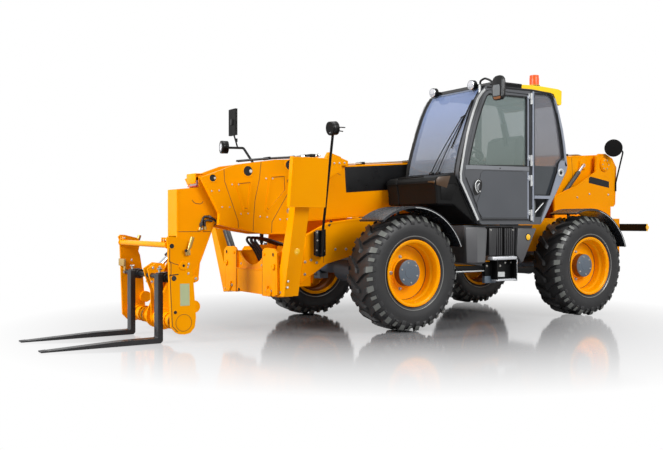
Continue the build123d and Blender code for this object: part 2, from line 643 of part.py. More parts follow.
with BuildPart() as engine_cover:
    # hood: top, outer side and ends, open towards the boom and below
    hood = [(-300, 1555), (-1090, 1555), (-1160, 1450), (-1160, 905), (-300, 905)]
    add(cross_slab(hood, -580, 580))
    add(cross_slab([(-290, 1535), (-1080, 1535), (-1140, 1445), (-1140, 895), (-290, 895)],
                   -560, 560), mode=Mode.SUBTRACT)
    add(block(-590, 590, -440, -280, 880, 1216), mode=Mode.SUBTRACT)
    for x_low in (-480, 462):
        add(block(x_low, x_low + 18, hood_hinge_y - 16, hood_hinge_y + 16, hood_hinge_z - 16,
                  1540))
        add(rod((x_low - 1, hood_hinge_y, hood_hinge_z), (x_low + 19, hood_hinge_y,
                                                          hood_hinge_z), 8.05),
            mode=Mode.SUBTRACT)
pieces["engine_cover"] = engine_cover.part
with BuildPart() as engine_cradle:
    add(cross_slab([(-415, 700), (-1130, 700), (-1160, 760), (-1160, 900), (-1140, 900),
                    (-1140, 765), (-1118, 720), (-415, 720)], -580, 580))
    for x_low in (-580, 560):
        add(block(x_low, x_low + 20, -1145, -415, 710, 900))
    # posts of the hood's hinge
    for x_low, x_high, x_pin in ((-500, -482, -500), (482, 500, 460)):
        add(block(x_low, x_high, -415, hood_hinge_y + 14, 1080, 1235))
        add(block(x_low, x_high, hood_hinge_y - 14, hood_hinge_y + 14, 1190, hood_hinge_z))
        add(rod((x_low, hood_hinge_y, hood_hinge_z), (x_high, hood_hinge_y, hood_hinge_z), 14))
        add(rod((x_pin, hood_hinge_y, hood_hinge_z), (x_pin + 40, hood_hinge_y, hood_hinge_z),
                8))
pieces["chassis"] = united([pieces["chassis"], engine_cradle.part])
with BuildPart() as engine_block:
    add(block(-420, 500, -1000, -480, 720 + seat, 1380))
pieces["engine_block"] = engine_block.part

# ---------------------------------------------------------------- lamps and mirrors
with BuildPart() as lamps_and_mirrors:
    # lamp on a post at the cab side
    add(rod((2107, 470, 785), (2120, 740, 2080), 14))
    add(block(2052, 2158, chassis_y + seat, 496, 800, 1055))
    add(rod((2165, 745, 2130), (2085, 745, 2140), 72))
    # lamp and mirror on an arm at the far side
    add(bent_tube([(2360, -383, 900 + seat), (2360, -383, 1500), (2400, -415, 1760),
                   (2481, -600, 2014), (2555, -930, 2040)], 14, 50))
    add(rod((2600, -955, 2046), (2520, -940, 2046), 75))
    add(rod((2503, -705, 2024), (2562, -700, 2200), 9))
    add(block(2550, 2580, -785, -615, 2162, 2468))
    # rear mirror and light bar
    side = tower_y + 11.3
    add(bent_tube([(-3000, side, 1600), (-3000, side, 1720), (-3012, 395, 2150),
                   (-2955, 400, 2192), (-2800, 400, 2198)], 11, 35))
    add(rod((-2806, 397, 2198), (-2786, 409, 2197), 122))
    add(block(-2935, -2905.3, 150, 860, 1035, 1135))
    # work lamps and mirror on the roof's front corners
    foot = [(318, 2681.1), (262, 2699.8), (262, 2716), (318, 2712)]
    for y in (302, 972):
        add(rod((354, y, 2714), (408, y, 2709), 54))
        add(block(280, 362, y - 14, y + 14, 2700, 2728))
        add(side_slab(foot, y - 14, y + 14))
    add(side_slab(foot, 1050, 1090))
    add(bent_tube([(300, 1070, 2708), (300, 1070, 2790), (361, 1290, 2802),
                   (361, 1375, 2802), (361, 1375, 2700)], 12, 30))
    add(block(346, 376, 1272, mirror_outer_y, 2492, 2766))
pieces["lamps_and_mirrors"] = lamps_and_mirrors.part

# ---------------------------------------------------------------- write the nodes
home = Location((-x_mid, -y_mid, 0))
for name, shape in pieces.items():
    placed = shape.moved(home)
    placed.label = name
    export_step(placed, "parts/" + name + ".step")
    box = placed.bounding_box()
    print(name, len(placed.solids()), [round(v, 1) for v in (*box.min, *box.max)])
print(len(pieces), "pieces, moved by", -x_mid, -y_mid)
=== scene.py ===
import bpy
import bmesh
import json
from math import sin, cos, pi, radians
from mathutils import Vector, Matrix

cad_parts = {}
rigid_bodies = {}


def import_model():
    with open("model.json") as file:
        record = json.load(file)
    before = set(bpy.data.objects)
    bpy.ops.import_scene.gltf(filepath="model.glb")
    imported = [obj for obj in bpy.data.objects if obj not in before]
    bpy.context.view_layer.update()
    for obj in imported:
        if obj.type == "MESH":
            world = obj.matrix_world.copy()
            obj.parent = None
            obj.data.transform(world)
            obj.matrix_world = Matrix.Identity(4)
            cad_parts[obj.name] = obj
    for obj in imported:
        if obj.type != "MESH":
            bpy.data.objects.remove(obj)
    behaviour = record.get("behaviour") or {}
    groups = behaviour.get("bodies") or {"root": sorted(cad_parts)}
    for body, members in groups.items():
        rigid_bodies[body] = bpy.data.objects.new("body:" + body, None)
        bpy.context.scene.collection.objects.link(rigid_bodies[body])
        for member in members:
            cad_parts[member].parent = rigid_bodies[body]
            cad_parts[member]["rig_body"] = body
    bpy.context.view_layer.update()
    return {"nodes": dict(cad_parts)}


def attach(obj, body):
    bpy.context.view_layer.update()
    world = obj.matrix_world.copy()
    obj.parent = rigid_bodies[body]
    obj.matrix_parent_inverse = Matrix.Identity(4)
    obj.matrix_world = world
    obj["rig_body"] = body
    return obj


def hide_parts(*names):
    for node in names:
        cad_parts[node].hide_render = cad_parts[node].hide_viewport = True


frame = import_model()
nodes = frame["nodes"]
print("frame loaded:", len(nodes), "nodes")

# places are written from the middle of the wheelbase: forwards, cab side, up, in metres
wheelbaseShift = Vector((-0.995, -0.05845, 0))
wheelX, hubZ, trackHalf = 1.378, 0.62, 0.97
boomPivot, boomSlope = (-2.76, 1.97), radians(4.09)

# outer faces of the plates that carry dressing, measured from the middle of the boom
boomFace, noseFace, neckFace = 0.170, 0.215, 0.119
chassisFace, towerFace, frameFace = 0.420, 0.270, 2.720
cabNear, cabFar, doorFace, cowlFace = 1.120, 0.188, 1.116, 1.100


def at(x, y, z):
    return Vector((x, y, z)) + wheelbaseShift


def onPlane(plane, a, b, level):
    return {"XZ": at(a, level, b), "YZ": at(level, a, b), "XY": at(a, b, level)}[plane]


def onBoom(along, above):
    return (boomPivot[0] + along * cos(boomSlope) + above * sin(boomSlope),
            boomPivot[1] - along * sin(boomSlope) + above * cos(boomSlope))


def addToScene(thing):
    bpy.context.scene.collection.objects.link(thing)
    return thing


# shared effects as node groups

def makeGroup(name, inputs, outputs):
    group = bpy.data.node_groups.new(name, "ShaderNodeTree")
    for label, kind, value in inputs:
        group.interface.new_socket(name=label, in_out="INPUT", socket_type=kind).default_value = value
    for label, kind in outputs:
        group.interface.new_socket(name=label, in_out="OUTPUT", socket_type=kind)
    return group, group.nodes.new("NodeGroupInput"), group.nodes.new("NodeGroupOutput")


def addNoise(tree, scale, detail=3.0, roughness=0.5, stretch=None):
    place = tree.nodes.new("ShaderNodeTexCoord")
    noise = tree.nodes.new("ShaderNodeTexNoise")
    noise.inputs["Scale"].default_value = scale
    noise.inputs["Detail"].default_value = detail
    noise.inputs["Roughness"].default_value = roughness
    source = place.outputs["Object"]
    if stretch:
        mapping = tree.nodes.new("ShaderNodeMapping")
        mapping.inputs["Scale"].default_value = stretch
        tree.links.new(source, mapping.inputs["Vector"])
        source = mapping.outputs["Vector"]
    tree.links.new(source, noise.inputs["Vector"])
    return noise


def addRange(tree, source, low, high, toLow=0.0, toHigh=1.0):
    span = tree.nodes.new("ShaderNodeMapRange")
    span.inputs["From Min"].default_value = low
    span.inputs["From Max"].default_value = high
    span.inputs["To Min"].default_value = toLow
    span.inputs["To Max"].default_value = toHigh
    tree.links.new(source, span.inputs["Value"])
    return span.outputs["Result"]


def buildSurfaceDrift():
    # two close shades in wide patches, with a smudged gloss
    group, given, out = makeGroup("surfaceDrift", [("Colour", "NodeSocketColor", (0.8, 0.8, 0.8, 1)),
                                                   ("Shade", "NodeSocketColor", (0.7, 0.7, 0.7, 1)),
                                                   ("Gloss Low", "NodeSocketFloat", 0.3),
                                                   ("Gloss High", "NodeSocketFloat", 0.4)],
                                  [("Colour", "NodeSocketColor"), ("Roughness", "NodeSocketFloat")])
    wide = addRange(group, addNoise(group, 1.7, 4.0).outputs["Fac"], 0.35, 0.7)
    mix = group.nodes.new("ShaderNodeMix")
    mix.data_type = "RGBA"
    group.links.new(wide, mix.inputs[0])
    group.links.new(given.outputs["Colour"], mix.inputs[6])
    group.links.new(given.outputs["Shade"], mix.inputs[7])
    group.links.new(mix.outputs[2], out.inputs["Colour"])
    fine = addNoise(group, 9.0, 6.0, 0.6)
    span = group.nodes.new("ShaderNodeMapRange")
    span.inputs["From Min"].default_value = 0.3
    span.inputs["From Max"].default_value = 0.7
    group.links.new(fine.outputs["Fac"], span.inputs["Value"])
    group.links.new(given.outputs["Gloss Low"], span.inputs["To Min"])
    group.links.new(given.outputs["Gloss High"], span.inputs["To Max"])
    group.links.new(span.outputs["Result"], out.inputs["Roughness"])
    return group


def buildFineGrain():
    # moulded or cast skin as a bump
    group, given, out = makeGroup("fineGrain", [("Scale", "NodeSocketFloat", 200.0),
                                                ("Strength", "NodeSocketFloat", 0.1),
                                                ("Depth", "NodeSocketFloat", 0.002)],
                                  [("Normal", "NodeSocketVector")])
    noise = addNoise(group, 200.0, 3.0, 0.6)
    group.links.new(given.outputs["Scale"], noise.inputs["Scale"])
    bump = group.nodes.new("ShaderNodeBump")
    group.links.new(given.outputs["Strength"], bump.inputs["Strength"])
    group.links.new(given.outputs["Depth"], bump.inputs["Distance"])
    group.links.new(noise.outputs["Fac"], bump.inputs["Height"])
    group.links.new(bump.outputs["Normal"], out.inputs["Normal"])
    return group


surfaceDrift = buildSurfaceDrift()
fineGrain = buildFineGrain()


def newMaterial(name):
    material = bpy.data.materials.new(name)
    material.use_nodes = True
    return material, material.node_tree, material.node_tree.nodes["Principled BSDF"]


def addMath(tree, operation, first, second):
    node = tree.nodes.new("ShaderNodeMath")
    node.operation = operation
    tree.links.new(first, node.inputs[0])
    if isinstance(second, float):
        node.inputs[1].default_value = second
    else:
        tree.links.new(second, node.inputs[1])
    return node


def hue(red, green, blue):
    def line(value):
        value /= 255
        return value / 12.92 if value <= 0.04045 else ((value + 0.055) / 1.055) ** 2.4
    return (line(red), line(green), line(blue), 1)


# finishes

finishes = {
    # colour, shade, gloss low, gloss high, metallic, coat, grain scale, grain strength
    "yellowPaint": ((249, 160, 0), (245, 152, 0), 0.30, 0.42, 0.0, 0.04, 260, 0.02),
    "rimPaint": ((253, 168, 0), (249, 160, 0), 0.22, 0.32, 0.0, 0.08, 260, 0.02),
    "roofYellow": ((255, 208, 6), (252, 200, 4), 0.35, 0.45, 0.0, 0.05, 260, 0.02),
    "cabPaint": ((80, 82, 86), (72, 74, 78), 0.30, 0.42, 0.1, 0.2, 300, 0.02),
    "doorPanel": ((76, 79, 84), (70, 73, 78), 0.38, 0.5, 0.0, 0.15, 300, 0.04),
    "beltGrey": ((126, 129, 133), (112, 115, 120), 0.34, 0.44, 0.0, 0.1, 300, 0.01),
    # light grey for plated parts, and for painted highlights on the pillar and the mudguard edge
    "chromeAndHighlightGrey": ((204, 206, 205), (196, 198, 198), 0.26, 0.34, 0.1, 0.2, 300, 0.01),
    # lighter blue-grey for the cab frame's outer tubes and strips: painted reflection
    "frameReflectionGrey": ((140, 146, 158), (130, 137, 150), 0.28, 0.38, 0.1, 0.3, 300, 0.01),
    "tintDark": ((50, 55, 60), (44, 50, 55), 0.12, 0.2, 0.0, 0.4, 300, 0.01),
    "amberGlass": ((128, 76, 26), (116, 66, 22), 0.16, 0.24, 0.0, 0.3, 300, 0.02),
    "brownShade": ((74, 50, 22), (64, 42, 18), 0.3, 0.42, 0.0, 0.2, 300, 0.03),
    "tankRib": ((44, 44, 45), (36, 36, 38), 0.4, 0.55, 0.0, 0.1, 380, 0.1),
    "tankLight": ((96, 97, 98), (88, 89, 91), 0.4, 0.52, 0.0, 0.1, 380, 0.1),
    "blackPlastic": ((16, 16, 16), (12, 12, 12), 0.4, 0.52, 0.0, 0.02, 380, 0.04),
    "glossBlack": ((18, 18, 19), (13, 13, 14), 0.26, 0.34, 0.0, 0.04, 300, 0.01),
    "tankPlastic": ((82, 82, 84), (72, 72, 75), 0.38, 0.5, 0.0, 0.1, 380, 0.06),
    "guardPlastic": ((38, 40, 45), (30, 32, 36), 0.2, 0.32, 0.0, 0.2, 320, 0.03),
    "tyreRubber": ((35, 35, 36), (28, 28, 29), 0.42, 0.56, 0.0, 0.0, 420, 0.06),
    # lighter grey for the lugs' slanted shoulder faces: painted highlight
    "lugHighlightGrey": ((104, 106, 102), (90, 92, 89), 0.26, 0.4, 0.0, 0.1, 420, 0.04),
    # lighter grey for the band round the bead: painted reflection
    "beadPaintedShine": ((128, 128, 124), (112, 112, 110), 0.15, 0.22, 0.2, 0.2, 420, 0.01),
    "hubShade": ((128, 70, 6), (112, 60, 4), 0.4, 0.5, 0.0, 0.0, 300, 0.02),
    "mirrorShell": ((116, 120, 122), (104, 108, 110), 0.2, 0.3, 0.0, 0.2, 300, 0.01),
    "axleGrey": ((92, 104, 116), (80, 92, 104), 0.4, 0.55, 0.0, 0.2, 180, 0.2),
    "forkBlack": ((32, 32, 34), (26, 26, 28), 0.38, 0.5, 0.3, 0.2, 260, 0.06),
    "barrelBlack": ((34, 34, 36), (28, 28, 30), 0.3, 0.4, 0.0, 0.3, 260, 0.03),
    "chromeRod": ((214, 216, 220), (206, 208, 214), 0.08, 0.14, 1.0, 0.0, 300, 0.01),
    "zincBolt": ((190, 188, 182), (172, 170, 164), 0.28, 0.4, 0.9, 0.0, 300, 0.05),
    "brassPin": ((188, 160, 96), (170, 140, 80), 0.3, 0.42, 0.8, 0.0, 300, 0.05),
    "stepSilverAndHighlight": ((214, 216, 220), (200, 202, 206), 0.34, 0.5, 0.6, 0.0, 240, 0.1),
    "castSteel": ((70, 70, 72), (58, 58, 60), 0.45, 0.6, 0.5, 0.0, 160, 0.25),
    "interiorGrey": ((108, 112, 112), (98, 102, 102), 0.55, 0.7, 0.0, 0.0, 300, 0.15),
    "seatCloth": ((52, 54, 58), (44, 46, 50), 0.75, 0.9, 0.0, 0.0, 600, 0.35),
    "trimDark": ((30, 31, 33), (24, 25, 27), 0.5, 0.65, 0.0, 0.0, 400, 0.15),
    "engineGrey": ((58, 60, 64), (50, 52, 56), 0.5, 0.65, 0.3, 0.0, 120, 0.3),
    "hoseRubber": ((24, 25, 27), (18, 19, 21), 0.35, 0.5, 0.0, 0.0, 500, 0.08),
    "holeBlack": ((12, 11, 10), (9, 9, 9), 0.7, 0.85, 0.0, 0.0, 300, 0.05),
    # brown for seams, and for the painted shade lines inside the nose frames
    "seamAndShadeBrown": ((120, 70, 10), (104, 60, 8), 0.6, 0.75, 0.0, 0.0, 300, 0.05),
    "amberLens": ((255, 196, 20), (250, 186, 14), 0.1, 0.18, 0.0, 0.6, 300, 0.05),
    "beaconLens": ((236, 84, 6), (226, 74, 4), 0.3, 0.4, 0.0, 0.0, 300, 0.02),
    # darker yellow for the front chassis sides: painted shade under the boom
    "chassisShadedYellow": ((160, 92, 0), (148, 84, 0), 0.34, 0.46, 0.0, 0.0, 260, 0.02),
    "bandBlue": ((84, 96, 120), (76, 88, 112), 0.15, 0.22, 0.0, 0.2, 300, 0.01),
    "redLens": ((190, 26, 20), (176, 20, 16), 0.12, 0.2, 0.0, 0.6, 300, 0.05),
    "clearLens": ((214, 216, 220), (204, 206, 212), 0.08, 0.16, 0.0, 0.6, 300, 0.04),
    "mirrorFace": ((206, 212, 218), (200, 206, 214), 0.05, 0.09, 1.0, 0.0, 300, 0.01),
    "blankLabel": ((176, 186, 142), (160, 170, 126), 0.3, 0.42, 0.2, 0.2, 300, 0.03),
    "padTan": ((176, 146, 88), (164, 134, 78), 0.5, 0.65, 0.0, 0.0, 260, 0.1),
}
# finishes that throw less light back than the rest
shine = {"yellowPaint": 0.08, "chassisShadedYellow": 0.08, "rimPaint": 0.18, "blackPlastic": 0.12, "glossBlack": 0.25}
commonShine, warmTint = 0.45, (1.0, 0.62, 0.12, 1)
materials = {}
for label, (colour, shade, glossLow, glossHigh, metallic, coat, scale, strength) in finishes.items():
    material, tree, shader = newMaterial(label)
    drift = tree.nodes.new("ShaderNodeGroup")
    drift.node_tree = surfaceDrift
    drift.inputs["Colour"].default_value = hue(*colour)
    drift.inputs["Shade"].default_value = hue(*shade)
    drift.inputs["Gloss Low"].default_value = glossLow
    drift.inputs["Gloss High"].default_value = glossHigh
    grain = tree.nodes.new("ShaderNodeGroup")
    grain.node_tree = fineGrain
    grain.inputs["Scale"].default_value = scale
    grain.inputs["Strength"].default_value = strength
    tree.links.new(drift.outputs["Colour"], shader.inputs["Base Color"])
    tree.links.new(drift.outputs["Roughness"], shader.inputs["Roughness"])
    tree.links.new(grain.outputs["Normal"], shader.inputs["Normal"])
    shader.inputs["Metallic"].default_value = metallic
    shader.inputs["Coat Weight"].default_value = coat
    shader.inputs["Coat Roughness"].default_value = 0.12
    shader.inputs["Specular IOR Level"].default_value = 0.5 if metallic else shine.get(label, commonShine)
    if label in ("yellowPaint", "chassisShadedYellow", "rimPaint"):
        shader.inputs["Specular Tint"].default_value = warmTint
    materials[label] = material


def glassFinish(name, high, low, alpha, roughness=0.03):
    # tinted pane, its colour drifting from low to high up the cab
    material, tree, shader = newMaterial(name)
    smear = addRange(tree, addNoise(tree, 2.2, 5.0).outputs["Fac"], 0.3, 0.75, roughness, roughness + 0.05)
    tree.links.new(smear, shader.inputs["Roughness"])
    place = tree.nodes.new("ShaderNodeTexCoord")
    split = tree.nodes.new("ShaderNodeSeparateXYZ")
    tree.links.new(place.outputs["Object"], split.inputs["Vector"])
    tint = tree.nodes.new("ShaderNodeMix")
    tint.data_type = "RGBA"
    tree.links.new(addRange(tree, split.outputs["Z"], 1.75, 2.45), tint.inputs["Factor"])
    tint.inputs["A"].default_value = low
    tint.inputs["B"].default_value = high
    tree.links.new(tint.outputs["Result"], shader.inputs["Base Color"])
    shader.inputs["Alpha"].default_value = alpha
    shader.inputs["Specular IOR Level"].default_value = 0.5
    materials[name] = material


glassFinish("screenGlass", hue(146, 166, 210), hue(140, 146, 156), 0.45)
glassFinish("doorGlass", hue(140, 156, 154), hue(132, 146, 140), 0.40)
glassFinish("sideGlass", hue(128, 130, 138), hue(124, 120, 122), 0.46)
glassFinish("farGlass", hue(96, 104, 108), hue(82, 86, 86), 0.42)


# modelling helpers

def thicken(bm, faces, plane, low, high):
    made = bmesh.ops.extrude_face_region(bm, geom=faces)["geom"]
    top = [v for v in made if isinstance(v, bmesh.types.BMVert)]
    bmesh.ops.translate(bm, verts=top, vec=onPlane(plane, 0, 0, high) - onPlane(plane, 0, 0, low))
    return top


def addPrism(bm, outline, low, high, plane="XZ", bevel=0.0, mat=0):
    base = bm.faces.new([bm.verts.new(onPlane(plane, a, b, low)) for a, b in outline])
    # a dict keeps its order, so each run bevels the edges in the same one
    body = dict.fromkeys(list(base.verts) + thicken(bm, [base], plane, low, high))
    for vert in body:
        for face in vert.link_faces:
            face.material_index = mat
    if bevel:
        edges = list(dict.fromkeys(e for v in body for e in v.link_edges))
        done = bmesh.ops.bevel(bm, geom=edges, offset=bevel, segments=2, affect="EDGES", profile=0.5, material=-1,
                               clamp_overlap=True)
        for face in done["faces"]:
            face.material_index = mat


def addBox(bm, low, high, bevel=0.004, mat=0):
    addPrism(bm, [(low[0], low[2]), (high[0], low[2]), (high[0], high[2]), (low[0], high[2])], low[1], high[1],
             "XZ", bevel, mat)


def addLathe(bm, place, axis, profile, segments=40, mat=0):
    centre = at(*place)
    axis = Vector(axis).normalized()
    upright = Vector((0, 0, 1)).rotation_difference(axis).to_matrix()
    chain = [bm.verts.new(centre + upright @ Vector((radius, 0, along))) for radius, along in profile]
    links = [bm.edges.new(pair) for pair in zip(chain, chain[1:])]
    turned = bmesh.ops.spin(bm, geom=chain + links, cent=centre, axis=axis, angle=2 * pi, steps=segments,
                            use_merge=True)
    points = [v for v in chain if v.is_valid]
    points += [v for v in turned["geom_last"] if v.is_valid and isinstance(v, bmesh.types.BMVert)]
    seen = {}
    while points:
        vert = points.pop()
        if vert not in seen:
            seen[vert] = True
            points += [e.other_vert(vert) for e in vert.link_edges]
    for vert in seen:
        for face in vert.link_faces:
            face.material_index = mat
    bmesh.ops.remove_doubles(bm, verts=list(seen), dist=1e-6)


def addDisc(bm, place, axis, radius, depth, bevel=0.003, segments=32, mat=0):
    rim = min(bevel, radius * 0.4, abs(depth) * 0.45)
    addLathe(bm, place, axis, [(0, 0), (radius, 0), (radius, depth - rim), (radius - rim, depth), (0, depth)],
             segments, mat)


def addBolt(bm, place, axis, size=0.014, mat=0):
    addLathe(bm, place, axis, [(0, -0.001), (size * 1.25, -0.001), (size * 1.25, size * 0.2), (size, size * 0.2),
                               (size, size * 0.75), (size * 0.8, size * 0.9), (0, size * 0.9)], 6, mat)


def addSideBolts(bm, face, side, spots, size, mat=2):
    for x, z in spots:
        addBolt(bm, (x, face, z), (0, side, 0), size, mat)


def addTube(bm, points, radius, bend=0.04, sides=12, mat=0, bendSteps=6):
    points = [at(*p) for p in points]
    route = [points[0]]
    for before, corner, after in zip(points, points[1:], points[2:]):
        back, ahead = before - corner, after - corner
        reach = min(bend, back.length * 0.48, ahead.length * 0.48)
        start, stop = corner + back.normalized() * reach, corner + ahead.normalized() * reach
        for k in range(bendSteps + 1):
            t = k / bendSteps
            route.append(start * (1 - t) ** 2 + corner * 2 * t * (1 - t) + stop * t * t)
    route.append(points[-1])
    tangent = (route[1] - route[0]).normalized()
    side = tangent.orthogonal().normalized()
    rings = []
    for k, place in enumerate(route):
        ahead = route[min(k + 1, len(route) - 1)] - route[max(k - 1, 0)]
        turned = ahead.normalized()
        side = (tangent.rotation_difference(turned) @ side)
        side = (side - turned * side.dot(turned)).normalized()
        tangent = turned
        other = tangent.cross(side)
        ring = [place + (side * cos(2 * pi * n / sides) + other * sin(2 * pi * n / sides)) * radius
                for n in range(sides)]
        rings.append([bm.verts.new(point) for point in ring])
    faces = [bm.faces.new(list(reversed(rings[0]))), bm.faces.new(rings[-1])]
    for low, high in zip(rings, rings[1:]):
        for n in range(sides):
            faces.append(bm.faces.new((low[n], low[(n + 1) % sides], high[(n + 1) % sides], high[n])))
    for face in faces:
        face.material_index = mat


def addRod(bm, start, stop, radius, sides=12, mat=0):
    addTube(bm, [start, stop], radius, sides=sides, mat=mat)


def addCollar(bm, place, axis, inner, outer, height, segments, mat=0):
    addLathe(bm, place, axis, [(inner, 0), (outer, 0), (outer, height), (inner, height), (inner, 0)], segments, mat)


def addHoledPlate(bm, outline, holes, low, high, mat=0, plane="XZ"):
    # a flat plate with windows, filled and then given its thickness
    edges = []
    for loop in [outline] + list(holes):
        verts = [bm.verts.new(onPlane(plane, a, b, low)) for a, b in loop]
        edges += [bm.edges.new((verts[k - 1], verts[k])) for k in range(len(verts))]
    filled = bmesh.ops.triangle_fill(bm, use_beauty=True, use_dissolve=False, edges=edges)["geom"]
    faces = [f for f in filled if isinstance(f, bmesh.types.BMFace)]
    for vert in thicken(bm, faces, plane, low, high):
        for face in vert.link_faces:
            face.material_index = mat
    for face in faces:
        if face.is_valid:
            face.material_index = mat


def addRibbon(bm, path, level, width, height, plane="XZ", closed=False, mat=0):
    # a flat bar laid along a path on a plane, with mitred corners
    count = len(path)
    path = [Vector(p) for p in path]
    left, right = [], []
    for k, point in enumerate(path):
        into = point - path[k - 1] if closed or k else path[1] - point
        out = path[(k + 1) % count] - point if closed or k < count - 1 else point - path[k - 1]
        across = Vector((-into.y, into.x)).normalized()
        normal = (across + Vector((-out.y, out.x)).normalized()).normalized()
        stretch = 1 / max(0.5, normal.dot(across))
        left.append(tuple(point + normal * width / 2 * stretch))
        right.append(tuple(point - normal * width / 2 * stretch))
    low, high = sorted((level, level + height))
    if closed:
        addHoledPlate(bm, left, [right], low, high, mat, plane)
    else:
        addPrism(bm, left + right[::-1], low, high, plane, 0.0, mat)


def makePiece(label, bm, body, finish, stands=(), smooth=38, bevel=0.0, mirrored=False):
    # finish is one name, or several for the material indices used in bm
    if mirrored:
        middle = at(0, 0, 0).y
        for vert in bm.verts:
            vert.co.y = 2 * middle - vert.co.y
    bmesh.ops.recalc_face_normals(bm, faces=bm.faces)
    mesh = bpy.data.meshes.new(label)
    bm.to_mesh(mesh)
    bm.free()
    for name in ([finish] if isinstance(finish, str) else finish):
        mesh.materials.append(materials[name])
    mesh.shade_smooth()
    mesh.set_sharp_from_angle(angle=radians(smooth))
    piece = addToScene(bpy.data.objects.new(label, mesh))
    if bevel:
        soften(piece, bevel)
    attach(piece, body)
    if stands:
        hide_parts(*stands)
    return piece


def soften(piece, width, segments=2):
    edge = piece.modifiers.new("softEdges", "BEVEL")
    edge.width = width
    edge.segments = segments
    edge.limit_method = "ANGLE"
    edge.angle_limit = radians(32)
    edge.use_clamp_overlap = True
    edge.harden_normals = True


def softNode(name, finish, width=0.004, choose=None, cutX=None):
    # a copy of the solid with rounded edges stands for it
    source = nodes[name]
    bm = bmesh.new()
    bm.from_mesh(source.data)
    bmesh.ops.transform(bm, matrix=source.matrix_world, verts=bm.verts)
    bmesh.ops.remove_doubles(bm, verts=bm.verts, dist=2e-5)
    bmesh.ops.dissolve_limit(bm, angle_limit=radians(0.6), verts=bm.verts, edges=bm.edges)
    if cutX is not None:
        bmesh.ops.bisect_plane(bm, geom=bm.verts[:] + bm.edges[:] + bm.faces[:], plane_co=at(cutX, 0, 0),
                               plane_no=(1, 0, 0))
    if choose:
        gone = []
        for face in bm.faces:
            middle = face.calc_center_median() - wheelbaseShift
            mat = choose(middle, face.normal)
            if mat is None:
                gone.append(face)
            else:
                face.material_index = mat
        bmesh.ops.delete(bm, geom=gone, context="FACES")
    return makePiece(name + ".soft", bm, nodes[name]["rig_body"], finish, (name,), 32, width)


# stage: camera, floor, lights

camera = addToScene(bpy.data.objects.new("camera", bpy.data.cameras.new("camera")))
camera.data.lens = 44.88
camera.data.sensor_width = 36
camera.location = (5.839, 7.91055, 1.150)
turn, dip = radians(-123.011), radians(-0.155)
camera.rotation_euler = Vector((cos(turn) * cos(dip), sin(turn) * cos(dip),
                                sin(dip))).to_track_quat("-Z", "Y").to_euler()
bpy.context.scene.camera = camera
bpy.context.scene.view_settings.view_transform = "Standard"

def makeFloor():
    floorBm = bmesh.new()
    bmesh.ops.create_circle(floorBm, cap_ends=True, segments=96, radius=60)
    mesh = bpy.data.meshes.new("floor")
    floorBm.to_mesh(mesh)
    floorBm.free()
    floor = addToScene(bpy.data.objects.new("floor", mesh))
    material, tree, shader = newMaterial("paleFloor")
    shader.inputs["Base Color"].default_value = (0.30, 0.30, 0.31, 1)
    shader.inputs["Roughness"].default_value = 0.08
    shader.inputs["IOR"].default_value = 2.1
    # the far floor goes over into the white background between these distances
    fadeStart, fadeStop = 1.6, 4.4
    glow = tree.nodes.new("ShaderNodeEmission")
    place = tree.nodes.new("ShaderNodeTexCoord")
    length = tree.nodes.new("ShaderNodeVectorMath")
    length.operation = "LENGTH"
    tree.links.new(place.outputs["Object"], length.inputs[0])
    far = addRange(tree, length.outputs["Value"], fadeStart, fadeStop)
    path = tree.nodes.new("ShaderNodeLightPath")
    seen = addMath(tree, "MULTIPLY", far, path.outputs["Is Camera Ray"])
    mix = tree.nodes.new("ShaderNodeMixShader")
    tree.links.new(seen.outputs["Value"], mix.inputs["Fac"])
    tree.links.new(shader.outputs["BSDF"], mix.inputs[1])
    tree.links.new(glow.outputs["Emission"], mix.inputs[2])
    tree.links.new(mix.outputs["Shader"], tree.nodes["Material Output"].inputs["Surface"])
    mesh.materials.append(material)


makeFloor()

lamps = {
    "keyLamp": {"place": (11.0, 0.6, 5.6), "size": 4.5, "watts": 1250},
    "sideLamp": {"place": (-2.4, 9.6, 6.8), "size": 5.0, "watts": 880},
    "topLamp": {"place": (-1.0, 0.0, 9.5), "size": 7.0, "watts": 330},
}
for label, setup in lamps.items():
    light = bpy.data.lights.new(label, "AREA")
    light.size = setup["size"]
    light.energy = setup["watts"]
    lamp = addToScene(bpy.data.objects.new(label, light))
    lamp.location = setup["place"]
    lamp.rotation_euler = (Vector((0, 0, 1.0)) - Vector(setup["place"])).to_track_quat("-Z", "Y").to_euler()

# the world is white to the camera and dimmer as a lamp
glossyShare = 0.85
world = bpy.data.worlds.new("studio")
bpy.context.scene.world = world
world.use_nodes = True
tree = world.node_tree
path = tree.nodes.new("ShaderNodeLightPath")
either = addMath(tree, "MAXIMUM", path.outputs["Is Camera Ray"], path.outputs["Is Transmission Ray"])
glossy = addMath(tree, "MULTIPLY_ADD", path.outputs["Is Glossy Ray"], glossyShare)
tree.links.new(either.outputs["Value"], glossy.inputs[2])
level = addRange(tree, glossy.outputs["Value"], 0, 1, 0.26)
tree.links.new(level, tree.nodes["Background"].inputs["Strength"])
tree.nodes["Background"].inputs["Color"].default_value = (1, 1, 1, 1)
print("stage ready")


# plain bodies: rounded copies of the solids

def underCradle(middle, normal):
    if middle.y < -0.425 or (middle.z < 0.6 and normal.z < -0.9):
        return 1
    # front chassis side faces take the darker yellow: painted shade under the boom
    return 2 if abs(middle.y) > 0.415 and 0.8 < middle.x and middle.z < 1.21 else 0


def capOrRoof(middle, normal):
    if middle.z > 2.79:
        return 2
    return 1 if middle.x > -0.26 else 0


def guardOrSteel(hubX):
    def tone(middle, normal):
        return 0 if Vector((middle.x - hubX, middle.z - hubZ)).length > 0.66 else 1
    return tone


def lampTone(middle, normal):
    # the near mirror and its arm are made from listed shapes
    if middle.y > 1.04 and middle.x > 0.2:
        return None
    return 1 if middle.x < -2.9 and 1.0 < middle.z < 1.2 and middle.y > 0.8 else 0


